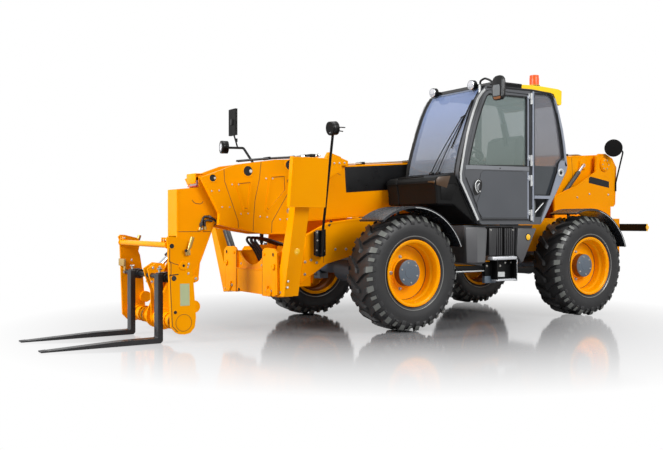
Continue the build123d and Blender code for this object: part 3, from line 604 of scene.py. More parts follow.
plain = {
    # node: finishes, edge width, tone
    "chassis": (["yellowPaint", "blackPlastic", "chassisShadedYellow"], 0.004, underCradle),
    "front_frame": (["yellowPaint"], 0.004, None),
    "engine_cover": (["yellowPaint"], 0.02, None),
    "engine_block": (["engineGrey"], 0.02, None),
    "cab_roof": (["roofYellow", "blackPlastic", "beaconLens"], 0.012, capOrRoof),
    "cab_interior": (["interiorGrey"], 0.012, None),
    "front_axle": (["axleGrey"], 0.006, None),
    "rear_axle": (["axleGrey"], 0.006, None),
    "lamps_and_mirrors": (["blackPlastic", "amberLens"], 0.004, lampTone),
    "boom_outer": (["yellowPaint"], 0.005, None),
    "boom_second": (["yellowPaint"], 0.005, None),
    "boom_third": (["yellowPaint"], 0.005, None),
    "boom_inner": (["yellowPaint"], 0.005, None),
    "lift_barrel": (["barrelBlack"], 0.004, None),
    "lift_rod": (["chromeRod"], 0.003, None),
    "compensation_barrel": (["barrelBlack"], 0.003, None),
    "compensation_rod": (["chromeRod"], 0.002, None),
    "tilt_barrel": (["barrelBlack"], 0.004, None),
    "tilt_rod": (["chromeRod"], 0.003, None),
    "carriage": (["yellowPaint"], 0.005, None),
    "forks": (["forkBlack"], 0.004, None),
}
for side in ("left", "right"):
    plain["stabiliser_" + side] = (["yellowPaint"], 0.005, None)
    plain["stabiliser_barrel_" + side] = (["barrelBlack"], 0.004, None)
    plain["stabiliser_rod_" + side] = (["chromeRod"], 0.003, None)
for name, (finish, width, tone) in plain.items():
    softNode(name, finish, width, tone, -0.26 if name == "cab_roof" else None)
print("plain bodies rounded")


# wheels, knuckles and mudguards

tyreHalf = [(0.3263, 0.184), (0.356, 0.188), (0.372, 0.203), (0.384, 0.207), (0.388, 0.211), (0.393, 0.211),
            (0.397, 0.207), (0.44, 0.2165), (0.462, 0.2185), (0.50, 0.217), (0.535, 0.209), (0.560, 0.196),
            (0.576, 0.178), (0.583, 0.14)]
tyreRing = [(r, -y) for r, y in tyreHalf] + [(0.589, 0)] + tyreHalf[::-1] + [(0.3263, -0.184)]
lug = {
    "count": 18, "flare": 0.007, "roundRadius": 0.6,
    # top y, top radius, foot y, foot radius, round from, round to
    "stations": [(-0.010, 0.6080, -0.024, 0.576, -0.094, -0.054), (0.006, 0.6190, -0.006, 0.574, -0.086, -0.038),
                 (0.060, 0.6188, 0.060, 0.574, -0.044, 0.010), (0.118, 0.6168, 0.118, 0.572, 0.000, 0.060),
                 (0.156, 0.6150, 0.150, 0.570, 0.016, 0.078), (0.170, 0.6090, 0.168, 0.560, 0.022, 0.084),
                 (0.2140, 0.5560, 0.198, 0.520, 0.036, 0.096), (0.2190, 0.5420, 0.207, 0.506, 0.040, 0.094),
                 (0.2198, 0.5180, 0.209, 0.496, 0.044, 0.090)],
    "stub": [(0.160, 0.5980, 0.155, 0.572, 0.038, 0.076), (0.172, 0.5950, 0.168, 0.560, 0.038, 0.076),
             (0.2120, 0.5500, 0.198, 0.520, 0.044, 0.082), (0.2175, 0.5400, 0.205, 0.508, 0.046, 0.080)],
}
rimRing = [(0.354, 0.204), (0.3535, 0.199), (0.345, 0.203), (0.338, 0.2025), (0.331, 0.197), (0.321, 0.191),
           (0.3155, 0.178), (0.3135, 0.165), (0.3115, 0.126), (0.304, 0.114), (0.293, 0.106), (0.290, 0.100),
           (0.289, 0.036), (0.284, 0.029), (0.272, 0.026), (0.250, 0.024), (0.205, 0.020), (0.168, 0.026),
           (0.163, 0.038), (0.146, 0.042), (0.142, 0.050), (0.140, 0.112), (0.137, 0.117), (0.131, 0.120),
           (0.060, 0.1205), (0.058, 0.124), (0.0, 0.125), (0.0, 0.098), (0.060, 0.098), (0.060, -0.038),
           (0.130, -0.038), (0.140, 0.010), (0.278, 0.012), (0.290, 0.0), (0.292, -0.106), (0.311, -0.124),
           (0.314, -0.170), (0.320, -0.194), (0.340, -0.203), (0.354, -0.204), (0.354, -0.192), (0.326, -0.188),
           (0.326, -0.132), (0.304, -0.106), (0.304, 0.106), (0.326, 0.132), (0.326, 0.188), (0.354, 0.192),
           (0.354, 0.204)]
wheel = {
    "nuts": 5, "nutRing": 0.176, "capBolts": 6, "capRing": 0.108, "beadBand": (0.383, 0.3945),
    "places": {"front_left": (wheelX, 1), "front_right": (wheelX, -1),
               "rear_left": (-wheelX, 1), "rear_right": (-wheelX, -1)},
}


def addLug(bm, hub, angle, side, shape="stations"):
    rings = []
    for topY, topRadius, footY, footRadius, low, high in lug[shape]:
        corners = [(footY, footRadius, low - lug["flare"]), (topY, topRadius, low), (topY, topRadius, high),
                   (footY, footRadius, high + lug["flare"])]
        ring = []
        for y, radius, rounded in corners:
            turned = angle + rounded / lug["roundRadius"]
            ring.append(bm.verts.new(hub + Vector((radius * cos(turned), side * y, radius * sin(turned)))))
        rings.append(ring)
    bm.faces.new(rings[0])
    bm.faces.new(list(reversed(rings[-1])))
    for step, (low, high) in enumerate(zip(rings, rings[1:])):
        for n in range(4):
            face = bm.faces.new((low[n], high[n], high[(n + 1) % 4], low[(n + 1) % 4]))
            # the slanted shoulder face takes a lighter grey: a painted highlight
            face.material_index = 1 if step == len(rings) - (4 if shape == "stations" else 3) and n == 1 else 0


def makeTyre(place):
    x, side = wheel["places"][place]
    bm = bmesh.new()
    addLathe(bm, (x, trackHalf, hubZ), (0, 1, 0), tyreRing, 108)
    hub = at(x, trackHalf, hubZ)
    # a lighter band round the bead: painted reflection
    beadLow, beadHigh = wheel["beadBand"]
    for face in bm.faces:
        middle = face.calc_center_median() - hub
        if beadLow < Vector((middle.x, middle.z)).length < beadHigh:
            face.material_index = 2
    for row, start in ((1, 0.0), (-1, pi / lug["count"])):
        for k in range(lug["count"]):
            addLug(bm, hub, start + k * 2 * pi / lug["count"], row)
            addLug(bm, hub, start + (k * 2 + 1) * pi / lug["count"], row, "stub")
    # small studs on the shoulders between the lugs
    for k in range(lug["count"] * 2):
        turned = (k + 0.5) * pi / lug["count"]
        for y in (0.2175, -0.2175):
            spot = Vector((x + 0.478 * cos(turned), trackHalf + y, hubZ + 0.478 * sin(turned)))
            addDisc(bm, spot, (0, 1 if y > 0 else -1, 0), 0.004, 0.0015, 0.0005, 8)
    makePiece("tyreTread." + place, bm, "wheel_" + place, ["tyreRubber", "lugHighlightGrey", "beadPaintedShine"],
              ("tyre_" + place,), 30, 0.004, side < 0)


def makeRim(place):
    x, side = wheel["places"][place]
    bm = bmesh.new()
    addLathe(bm, (x, trackHalf, hubZ), (0, 1, 0), rimRing, 96)
    for face in bm.faces:
        middle = face.calc_center_median() - at(x, trackHalf, hubZ)
        reach = Vector((middle.x, middle.z)).length
        if reach < 0.141 and middle.y > 0.108:
            face.material_index = 1
        # the wall round the hub and the rim's inner half take a darker brown as painted shade; the same brown marks
        # a ring at the barrel joint
        elif 0.139 < reach < 0.1455 and middle.y < 0.112 or 0.2815 < reach < 0.2895 and 0.02 < middle.y < 0.06:
            face.material_index = 4
        elif middle.y < -0.005 and reach < 0.325:
            face.material_index = 4
    for k in range(wheel["nuts"]):
        turned = k * 2 * pi / wheel["nuts"]
        spot = (x + wheel["nutRing"] * cos(turned), trackHalf + 0.020, hubZ + wheel["nutRing"] * sin(turned))
        addDisc(bm, spot, (0, 1, 0), 0.021, 0.006, 0.002, 20, 2)
        addBolt(bm, (spot[0], spot[1] + 0.006, spot[2]), (0, 1, 0), 0.0145, 2)
    for k in range(wheel["capBolts"]):
        turned = radians(20) + k * 2 * pi / wheel["capBolts"]
        addBolt(bm, (x + wheel["capRing"] * cos(turned), trackHalf + 0.120, hubZ + wheel["capRing"] * sin(turned)),
                (0, 1, 0), 0.009, 2)
    addTube(bm, [(x + 0.262, trackHalf + 0.024, hubZ + 0.02), (x + 0.266, trackHalf + 0.06, hubZ + 0.02),
                 (x + 0.274, trackHalf + 0.085, hubZ + 0.02)], 0.0045, 0.01, 10, 3)
    makePiece("rimDressed." + place, bm, "wheel_" + place,
              ["rimPaint", "axleGrey", "zincBolt", "blackPlastic", "hubShade"], ("rim_" + place,), 30, 0.0025,
              side < 0)


def addArcBand(bm, centre, inner, outer, low, high, start, stop, steps=28, mat=0):
    rings = []
    for k in range(steps + 1):
        turned = radians(start + (stop - start) * k / steps)
        rings.append([bm.verts.new(at(centre[0] + r * cos(turned), y, centre[1] + r * sin(turned)))
                      for r, y in ((inner, low), (outer, low), (outer, high), (inner, high))])
    faces = [bm.faces.new(rings[0]), bm.faces.new(list(reversed(rings[-1])))]
    for before, after in zip(rings, rings[1:]):
        for n in range(4):
            faces.append(bm.faces.new((before[n], after[n], after[(n + 1) % 4], before[(n + 1) % 4])))
    for face in faces:
        face.material_index = mat


guard = {"inner": 0.692, "thick": 0.010, "low": 0.780, "high": 1.190,
         "span": {"front": (52, 157), "rear": (66, 161)}}


def makeKnuckle(place):
    x, side = wheel["places"][place]
    softNode("knuckle_" + place, ["guardPlastic", "castSteel"], 0.003, guardOrSteel(x))
    start, stop = guard["span"][place.split("_")[0]]
    bm = bmesh.new()
    outer = guard["inner"] + guard["thick"]
    # rolled lips and long ribs
    addArcBand(bm, (x, hubZ), guard["inner"] - 0.010, outer + 0.003, guard["high"] - 0.008, guard["high"], start,
               stop)
    addArcBand(bm, (x, hubZ), guard["inner"] - 0.006, outer + 0.003, guard["low"], guard["low"] + 0.008, start,
               stop)
    # a thin light grey line along the rear part of the top edge: painted highlight
    addArcBand(bm, (x, hubZ), guard["inner"] - 0.006, guard["inner"], guard["high"], guard["high"] + 0.001,
               start + 38, stop, mat=3)
    for y in (0.83, 0.88, 0.93, 0.985, 1.04, 1.09, 1.14):
        addArcBand(bm, (x, hubZ), outer - 0.002, outer + 0.0035, y - 0.006, y + 0.006, start + 2, stop - 2)
    for turned in (start + 0.4, stop - 0.4):
        addArcBand(bm, (x, hubZ), guard["inner"] - 0.004, outer + 0.005, guard["low"], guard["high"], turned - 0.4,
                   turned + 0.4, 2)
    # clamp bolts over the carrying arm
    for y in (0.80, 0.86):
        addBolt(bm, (x - 0.121, y, hubZ + 0.695), (0, 0, 1), 0.009, 1)
    # pin caps with their bolts
    for z, way in ((hubZ + 0.150, 1), (hubZ - 0.150, -1)):
        addDisc(bm, (x, 0.745, z), (0, 0, way), 0.048, 0.008, 0.003, 24, 2)
        for k in range(4):
            turned = pi / 4 + k * pi / 2
            addBolt(bm, (x + 0.033 * cos(turned), 0.745 + 0.033 * sin(turned), z + way * 0.008), (0, 0, way), 0.006,
                    1)
    makePiece("guardRibs." + place, bm, "knuckle_" + place,
              ["guardPlastic", "zincBolt", "castSteel", "chromeAndHighlightGrey"], (), 32, 0.0015, side < 0)


for place in wheel["places"]:
    makeTyre(place)
    makeRim(place)
    makeKnuckle(place)
print("wheels made")


# boom nose, decal panel, pipes and hoses

nose = {
    "seams": [[(3.119, 1.706), (3.113, 1.581), (3.027, 1.355), (2.958, 1.168), (2.952, 1.086)],
              [(2.687, 1.798), (2.705, 1.624), (2.759, 1.39), (2.777, 1.19), (2.782, 1.056)],
              [(2.330, 1.500), (2.357, 1.472), (2.555, 1.158), (2.561, 1.034)]],
    "frames": [[(2.981, 1.569), (2.803, 1.589), (2.842, 1.284), (2.885, 1.284)],
               [(2.573, 1.649), (2.395, 1.665), (2.382, 1.504), (2.604, 1.272), (2.627, 1.296)]],
    "holes": [(3.245, 1.608, 0.036), (2.842, 1.693, 0.052), (2.335, 1.775, 0.052), (2.335, 1.602, 0.030)],
    "studs": [(3.027, 1.547), (2.952, 1.549), (3.259, 1.475), (3.175, 1.482), (3.141, 1.312), (3.056, 1.313),
              (2.924, 1.242), (2.842, 1.247), (2.627, 1.621), (2.549, 1.623), (2.699, 1.216), (2.615, 1.211),
              (2.457, 1.185), (2.370, 1.191), (2.300, 1.360), (2.215, 1.365), (2.120, 1.560), (2.035, 1.566)],
}
for side, label in ((1, "near"), (-1, "far")):
    bm = bmesh.new()
    face = side * noseFace
    for seam in nose["seams"]:
        addRibbon(bm, seam, face, 0.006, side * 0.0012, mat=1)
    for outline in nose["frames"]:
        addRibbon(bm, outline, face, 0.018, side * 0.007, closed=True)
        middle = sum((Vector(p) for p in outline), Vector((0, 0))) / len(outline)
        # a thin dark line inside each frame: painted shade of the pressed recess
        inner = [tuple(Vector(p) + (middle - Vector(p)).normalized() * 0.018) for p in outline]
        addRibbon(bm, inner, face, 0.005, side * 0.0012, closed=True, mat=1)
    for x, z, radius in nose["holes"]:
        addLathe(bm, (x, face, z), (0, side, 0), [(radius, -0.001), (radius, 0.004), (radius + 0.004, 0.0055),
                                                  (radius + 0.011, 0.0045), (radius + 0.013, -0.001),
                                                  (radius, -0.001)], 36)
        addDisc(bm, (x, face, z), (0, side, 0), radius, 0.0014, 0.0004, 32, 2)
        addDisc(bm, (x - radius * 0.62, face, z), (0, side, 0), radius * 0.36, 0.005, 0.002, 18, 3)
    for x, z in nose["studs"]:
        addDisc(bm, (x, face, z), (0, side, 0), 0.0135, 0.002, 0.0008, 18)
        addDisc(bm, (x, face + side * 0.002, z), (0, side, 0), 0.0085, 0.003, 0.001, 12, 3)
    # folded bottom edge of the nose plate
    addRibbon(bm, [(2.300, 1.108), (2.407, 1.036), (2.637, 1.035), (2.827, 1.065), (3.172, 1.136)], face, 0.012,
              side * 0.003)
    makePiece("noseDressing." + label, bm, "boom",
              ["yellowPaint", "seamAndShadeBrown", "holeBlack", "zincBolt"], (), 30, 0.0015)

decal = {"along": (1.90, 4.352), "above": (-0.166, 0.124)}
bm = bmesh.new()
for side in (1, -1):
    corners = [onBoom(decal["along"][i], decal["above"][j]) for i, j in ((0, 0), (1, 0), (1, 1), (0, 1))]
    addPrism(bm, corners, side * boomFace, side * (boomFace + 0.0015))
makePiece("decalPanel", bm, "boom", "glossBlack")

bm = bmesh.new()
for side in (1, -1):
    # weld seams, edge beads and bolts along the outer section
    addRibbon(bm, [(1.640, 1.690), (1.905, 1.793)], side * boomFace, 0.005, side * 0.001, mat=1)
    for low, high in (((-0.10, 0.128), (4.30, 0.128)), ((-0.10, -0.436), (5.10, -0.436))):
        addRibbon(bm, [onBoom(*low), onBoom(*high)], side * boomFace, 0.008, side * 0.0025)
    for along in (0.55, 1.15):
        addRibbon(bm, [onBoom(along, -0.43), onBoom(along, 0.12)], side * boomFace, 0.006, side * 0.0015, mat=1)
    addSideBolts(bm, side * noseFace, side, [onBoom(along, 0.17) for along in (4.38, 4.45, 4.52, 4.59)], 0.010)
    # pivot cap
    addLathe(bm, (boomPivot[0], side * 0.288, boomPivot[1]), (0, side, 0),
             [(0, 0), (0.085, 0), (0.085, 0.006), (0.078, 0.012), (0.050, 0.012), (0.046, 0.004), (0, 0.004)])
    capBolts = [(boomPivot[0] + 0.064 * cos(k * pi / 3), boomPivot[1] + 0.064 * sin(k * pi / 3)) for k in range(6)]
    addSideBolts(bm, side * 0.299, side, capBolts, 0.008)
makePiece("boomSeams", bm, "boom", ["yellowPaint", "seamAndShadeBrown", "zincBolt"], (), 30, 0.0008)

# steel pipes and hoses over the boom, with clips
bm = bmesh.new()
pipeRoute = [onBoom(along, 0.165) for along in (0.25, 2.0, 4.25)]
pipeRoute.insert(0, (pipeRoute[0][0] - 0.12, pipeRoute[0][1] - 0.03))
for y in (-0.070, -0.035, 0.0, 0.035):
    addTube(bm, [(x, y, z) for x, z in pipeRoute], 0.0085, 0.05, 10)
for along in (0.5, 1.2, 1.9, 2.6, 3.3, 4.0):
    x, z = onBoom(along, 0.158)
    addBox(bm, (x - 0.02, -0.088, z - 0.012), (x + 0.02, 0.053, z + 0.022), 0.003, 1)
    addBolt(bm, (x, -0.0175, z + 0.022), (0, 0, 1), 0.007, 2)
makePiece("boomPipes", bm, "boom", ["zincBolt", "blackPlastic", "zincBolt"], (), 40)

bm = bmesh.new()
topHoses = [(2.90, 1.800, 0.155), (2.72, 1.822, 0.155), (2.40, 1.856, 0.155), (2.05, 1.880, 0.150),
            (1.93, 1.900, 0.14)]
for lane, lift in ((0.0, 0.0), (-0.030, 0.004), (-0.060, 0.0), (-0.095, 0.006)):
    addTube(bm, [(x, y + lane, z + lift) for x, z, y in topHoses], 0.0105, 0.10)
for lane in (0.0, -0.030, -0.060, -0.095):
    for x, z, reach in ((2.16, 1.882, 0.045), (2.02, 1.894, 0.06), (1.935, 1.908, 0.03)):
        y = 0.152 + lane
        addRod(bm, (x, y, z - 0.006), (x - reach, y, z + 0.003), 0.0165, 6, 1)
    addRod(bm, (2.10, 0.152 + lane, 1.884), (2.10, 0.152 + lane, 1.904), 0.010, 6, 2)
addBox(bm, (1.975, 0.040, 1.868), (2.035, 0.170, 1.914), 0.005, 2)
addBox(bm, (2.245, 0.035, 1.858), (2.265, 0.172, 1.884), 0.003, 2)
addBox(bm, (2.545, 0.035, 1.828), (2.565, 0.172, 1.860), 0.003, 2)
makePiece("noseHoses", bm, "boom", ["hoseRubber", "zincBolt", "blackPlastic"], (), 40)
print("boom dressed")


# neck of the inner section

bm = bmesh.new()
for side in (1, -1):
    face = side * neckFace
    addRibbon(bm, [(3.598, 1.060), (3.216, 1.060)], face, 0.006, side * 0.0012, mat=1)
    addRibbon(bm, [(3.432, 1.382), (3.410, 1.358), (3.388, 1.347), (3.344, 1.343), (3.322, 1.352), (3.310, 1.369)],
              face, 0.007, side * 0.0015, mat=1)
    addRibbon(bm, [(3.585, 1.483), (3.585, 0.775), (3.652, 0.640), (3.815, 0.252)], face, 0.012, side * 0.003)
    addRibbon(bm, [(3.150, 1.230), (3.335, 0.782), (3.620, 0.180)], face, 0.012, side * 0.003)
    addLathe(bm, (3.727, face, 0.192), (0, side, 0), [(0.072, -0.001), (0.072, 0.004), (0.104, 0.004), (0.108, 0.0),
                                                      (0.108, -0.001), (0.072, -0.001)])
    for x, z in ((3.392, 0.578), (3.330, 1.090)):
        addDisc(bm, (x, face, z), (0, side, 0), 0.034, 0.006, 0.002, 24)
        addBolt(bm, (x, face + side * 0.006, z), (0, side, 0), 0.013, 2)
# tail of the sections over the neck
addBox(bm, (3.272, -0.112, 1.646), (3.392, 0.112, 1.658), 0.003)
addBox(bm, (3.382, -0.112, 1.552), (3.394, 0.112, 1.648), 0.003)
addBox(bm, (3.276, -0.108, 1.521), (3.388, 0.108, 1.532), 0.002, 3)
# a light silver block inside the tail frame: painted highlight
addBox(bm, (3.282, -0.080, 1.534), (3.374, 0.080, 1.588), 0.004, 4)
makePiece("neckDressing", bm, "inner", ["yellowPaint", "seamAndShadeBrown", "zincBolt", "redLens",
                                                      "stepSilverAndHighlight"], (), 30, 0.001)

bm = bmesh.new()
for lane, y in enumerate((0.128, 0.090, 0.052, 0.014)):
    # each hose lies a little lower than the one before
    drop = 0.012 * lane
    addTube(bm, [(3.150, y, 1.150 - drop), (3.205, y, 1.196 - drop), (3.300, y, 1.222 - drop),
                 (3.326, y, 1.160 - drop), (3.345, y, 1.092 - drop)], 0.0125, 0.035)
    addRod(bm, (3.330, y, 1.150 - drop), (3.336, y, 1.120 - drop), 0.018, 6, 1)
    addRod(bm, (3.228, y, 1.205 - drop), (3.258, y, 1.214 - drop), 0.018, 6, 1)
    addRod(bm, (3.343, y, 1.102 - drop), (3.350, y, 1.074 - drop), 0.015, 10, 2)
for y in (0.142, 0.116):
    addTube(bm, [(3.297, y, 1.105), (3.302, y, 1.170), (3.262, y, 1.178), (3.215, y, 1.165)], 0.010, 0.02)
    addRod(bm, (3.297, y, 1.112), (3.296, y, 1.080), 0.0145, 6, 2)
makePiece("neckHoses", bm, "inner", ["hoseRubber", "castSteel", "brassPin"], (), 40)
print("neck dressed")


# front frame and stabilisers

bm = bmesh.new()
for side in (1, -1):
    addDisc(bm, (frameFace, side * 0.541, 0.822), (1, 0, 0), 0.021, 0.0012, 0.0004, 24, 1)
    addLathe(bm, (frameFace, side * 0.541, 0.822), (1, 0, 0),
             [(0.021, 0), (0.021, 0.004), (0.031, 0.003), (0.032, 0), (0.021, 0)], 28)
    for y, z in ((0.403, 0.454), (0.498, 0.448), (0.350, 0.820)):
        addBolt(bm, (frameFace, side * y, z), (1, 0, 0), 0.014, 0 if y < 0.4 else 2)
    addBox(bm, (frameFace, side * 0.430 - 0.016, 0.430), (2.742, side * 0.430 + 0.016, 0.496))
    addRibbon(bm, [(side * 0.303, 0.392), (side * 0.303, 0.846)], frameFace, 0.008, 0.001, "YZ", mat=3)
    addRibbon(bm, [(side * 0.325, 0.40), (side * 0.590, 0.412), (side * 0.590, 0.80)], frameFace, 0.010, 0.002,
              "YZ")
    for y, z, radius in ((0.470, 0.430, 0.044), (0.550, 0.700, 0.034)):
        addLathe(bm, (2.728, side * y, z), (1, 0, 0), [(0, 0), (radius, 0), (radius, 0.006),
                                                       (radius - 0.006, 0.011), (0.012, 0.011), (0.010, 0.006),
                                                       (0, 0.006)], 30)
    # keeper plates behind
    addBox(bm, (2.445, side * 0.470 - 0.05, 0.41), (2.462, side * 0.470 + 0.05, 0.45), 0.003)
addBox(bm, (2.7120, -0.302, 0.645), (2.722, 0.302, 0.655), 0.003)
addRibbon(bm, [(-0.298, 0.402), (0.298, 0.402)], 2.712, 0.010, 0.004, "YZ")
addDisc(bm, (2.712, -0.250, 0.412), (1, 0, 0), 0.018, 0.0046, 0.0005, 20, 1)
addDisc(bm, (2.490, -0.010, 0.560), (1, 0, 0), 0.024, 0.003, 0.001, 20, 1)
for y in (-0.24, 0.24):
    addBolt(bm, (2.690, y, 0.700), (1, 0, 0), 0.010, 2)
makePiece("frameDressing", bm, "machine", ["yellowPaint", "holeBlack", "zincBolt", "seamAndShadeBrown"], (),
          30, 0.0015)


def legDressing(side):
    bm = bmesh.new()
    # pad rim, reflector, bolts; then turned down a little on the far side
    addLathe(bm, (2.600, 0.812, 0.862), (0, 0.971, -0.239), [(0, 0), (0.034, 0), (0.034, 0.006), (0.028, 0.010),
                                                             (0, 0.011)], 28, 1)
    for z, y in ((0.498, 0.736), (0.560, 0.751)):
        addBolt(bm, (2.665, y, z), (0, 0.971, -0.239), 0.011, 2)
    lean = radians(8)
    rimOut = -0.0038
    rim = [(1.045 + sin(lean) * along + cos(lean) * rimOut, 1.545 + cos(lean) * along - sin(lean) * rimOut)
           for along in (-0.241, 0.241)]
    for y, z in rim:
        addRod(bm, (2.392, y, z), (2.793, y, z), 0.005, 8)
    for x in (2.391, 2.794):
        addRod(bm, (x, *rim[0]), (x, *rim[1]), 0.005, 8)
    # pins of the ram's eye and the hinge knuckle
    addDisc(bm, (2.656, 0.745, 1.270), (1, 0, 0), 0.026, 0.010, 0.003, 24, 2)
    addDisc(bm, (2.534, 0.745, 1.270), (-1, 0, 0), 0.026, 0.010, 0.003, 24, 2)
    addBolt(bm, (2.691, 0.640, 0.440), (1, 0, 0), 0.012, 2)
    if side < 0:
        turned = Matrix.Rotation(radians(-12), 4, "X")
        centre = at(0, 0.470, 0.430)
        bmesh.ops.transform(bm, matrix=Matrix.Translation(centre) @ turned @ Matrix.Translation(-centre),
                            verts=bm.verts)
    label = "left" if side > 0 else "right"
    makePiece("legDressing." + label, bm, "stabiliser_" + label,
              ["yellowPaint", "amberLens", "zincBolt"], (), 32, 0.001, side < 0)


legDressing(1)
legDressing(-1)

# hoses from the chassis to the two stabiliser rams and to the boom
bm = bmesh.new()
for y, spread in ((-0.02, 0.0), (-0.075, 0.012), (-0.13, -0.008), (-0.19, 0.01)):
    addTube(bm, [(2.470, y, 0.700), (2.560, y, 0.86), (2.640 + spread, y, 0.955), (2.620 + spread, y - 0.02, 0.99),
                 (2.480, y - 0.03, 0.975), (2.250, y, 0.900)], 0.014, 0.08)
for side in (1, -1):
    addTube(bm, [(2.560, side * 0.505, 0.740), (2.500, side * 0.500, 0.830), (2.440, side * 0.430, 0.860),
                 (2.300, side * 0.360, 0.840)], 0.010, 0.05)
    addRod(bm, (2.575, side * 0.515, 0.735), (2.555, side * 0.505, 0.748), 0.014, 6, 1)
makePiece("frameHoses", bm, "machine", ["hoseRubber", "zincBolt"], (), 40)
print("front frame dressed")


# carriage and forks

bm = bmesh.new()
for side, face in ((1, 0.630), (-1, -0.765)):
    for x, z, radius in ((3.858, 0.930, 0.023), (3.823, 0.304, 0.017)):
        addDisc(bm, (x, face, z), (0, side, 0), radius, 0.0014, 0.0004, 24, 1)
        addLathe(bm, (x, face, z), (0, side, 0), [(radius, 0), (radius, 0.003), (radius + 0.007, 0.002),
                                                  (radius + 0.008, 0), (radius, 0)], 26)
    addLathe(bm, (3.742, face, 0.743), (0, side, 0), [(0.014, 0), (0.014, 0.012), (0.038, 0.012), (0.042, 0.008),
                                                      (0.042, 0), (0.014, 0)], 30)
    addDisc(bm, (3.742, face, 0.743), (0, side, 0), 0.014, 0.004, 0.001, 20, 1)
    addSideBolts(bm, face, side, ((3.689, 0.757), (3.692, 0.667), (3.700, 0.730)), 0.010)
    addLathe(bm, (3.738, face, 0.201), (0, side, 0), [(0.078, 0), (0.078, 0.0025), (0.0815, 0.0025), (0.0815, 0),
                                                      (0.078, 0)], 44, 3)
    addRibbon(bm, [(3.879, 0.951), (3.879, 0.790), (3.866, 0.765), (3.866, 0.668), (3.876, 0.655), (3.852, 0.175),
                   (3.800, 0.118)], face, 0.007, side * 0.001, mat=3)
    addRibbon(bm, [(3.889, 0.790), (3.834, 0.764), (3.790, 0.752)], face, 0.006, side * 0.001, mat=3)
    addRibbon(bm, [(3.883, 0.655), (3.791, 0.662)], face, 0.010, side * 0.0012, mat=1)
    # latch: plated sleeve with its spring knob
    addRod(bm, (3.656, face + side * 0.022, 1.014), (3.690, face + side * 0.022, 0.910), 0.019, 16, 4)
    addRod(bm, (3.690, face + side * 0.022, 0.912), (3.712, face + side * 0.022, 0.868), 0.013, 14, 4)
    knobLow, knobHigh = (0.002, 0.026) if side > 0 else (0.026, 0.002)
    addBox(bm, (3.678, face - knobLow, 0.840), (3.728, face + knobHigh, 0.892), 0.006, 4)
    addDisc(bm, (3.726, face + side * 0.024, 0.886), (0, side, 0), 0.014, 0.010, 0.003, 16, 1)
addPrism(bm, [(3.776, 0.572), (3.681, 0.571), (3.678, 0.362), (3.773, 0.362)], 0.630, 0.6316, mat=5)
# tube collars, ears and their studs
for y in (-0.735, 0.585):
    addLathe(bm, (3.880, y, 0.940), (0, 1, 0), [(0.028, 0), (0.036, 0.002), (0.036, 0.013), (0.028, 0.015),
                                                (0.028, 0)], 30)
for y in (-0.700, -0.640, 0.470, 0.530):
    for low, way in ((y + 0.016, 1), (y, -1)):
        addBolt(bm, (3.884, low, 0.985), (0, way, 0), 0.009, 2)
addBox(bm, (3.876, -0.766, 0.690), (3.902, -0.600, 0.765), 0.004, 6)
addBox(bm, (3.876, -0.640, 0.640), (3.890, -0.600, 0.692), 0.004, 6)
for y, z in ((-0.451, 0.759), (-0.690, 0.620)):
    addBolt(bm, (3.862, y, z), (1, 0, 0), 0.012, 2)
for z in (0.311, 0.205):
    addBolt(bm, (3.846, -0.752, z), (1, 0, 0), 0.014, 2)
# bolts on the two plates beside the tilt cylinder
for y, way in ((-0.056, -1), (0.056, 1)):
    addSideBolts(bm, y + way * 0.012, way, ((3.760, 0.705), (3.830, 0.700), (3.840, 0.560), (3.755, 0.200)), 0.012)
makePiece("carriageDressing", bm, "carriage", ["yellowPaint", "holeBlack", "zincBolt", "seamAndShadeBrown",
                                                           "brassPin", "blankLabel", "padTan"], (), 30, 0.0012)

bm = bmesh.new()
for y in (0.440, -0.320):
    for way in (1, -1):
        addDisc(bm, (3.835, y + way * 0.038, 0.625), (0, way, 0), 0.046, 0.010, 0.003, 28)
    addRod(bm, (3.905, y, 0.672), (3.905, y, 0.705), 0.012, 12, 1)
    addBox(bm, (3.889, y - 0.030, 0.700), (3.921, y + 0.030, 0.716), 0.004, 1)
    # worn tip chamfer
    addPrism(bm, [(4.960, 0.0133), (5.0195, 0.0133), (5.0195, 0.016), (4.960, 0.019)], y - 0.048, y + 0.048, mat=2)
makePiece("forkDressing", bm, "carriage", ["forkBlack", "zincBolt", "castSteel"], (), 32, 0.001)
print("carriage dressed")


# cab: pillars, door, handles, wipers, seat

cabFront = [(0.722, 1.640), (0.724, 1.700), (0.712, 1.780), (0.690, 1.870), (0.660, 1.975), (0.620, 2.095),
            (0.570, 2.235), (0.510, 2.385), (0.450, 2.510), (0.385, 2.610), (0.350, 2.655)]
cabOutline = cabFront + [(0.320, 2.682), (0.260, 2.700), (-0.435, 2.715), (-0.740, 2.700), (-0.790, 2.660),
                         (-0.868, 2.480), (-0.935, 2.290), (-0.978, 2.100), (-1.011, 1.915), (-1.028, 1.840),
                         (-1.010, 1.770), (-0.610, 1.180), (-0.560, 1.130), (0.385, 1.130), (0.425, 1.150)]
doorGap = [(-0.385, 2.652), (-0.385, 1.170), (0.388, 1.170), (0.620, 1.630), (0.632, 1.690), (0.627, 1.745),
           (0.583, 1.933), (0.535, 2.115), (0.479, 2.294), (0.412, 2.462), (0.344, 2.600), (0.304, 2.640),
           (0.250, 2.654)]
farPane = [(-0.385, 2.640), (-0.385, 1.790), (0.640, 1.780), (0.600, 1.950), (0.550, 2.120), (0.490, 2.300),
           (0.420, 2.470), (0.345, 2.600), (0.300, 2.640)]
rearGap = [(-0.452, 2.672), (-0.452, 1.476), (-0.707, 1.480), (-0.835, 1.760), (-0.858, 1.860), (-0.885, 1.895),
           (-0.948, 1.935), (-0.930, 2.070), (-0.905, 2.200), (-0.870, 2.360), (-0.826, 2.520), (-0.800, 2.590),
           (-0.760, 2.650), (-0.706, 2.680)]
lowGap = [(-0.453, 1.429), (-0.453, 1.218), (-0.571, 1.218), (-0.690, 1.433)]
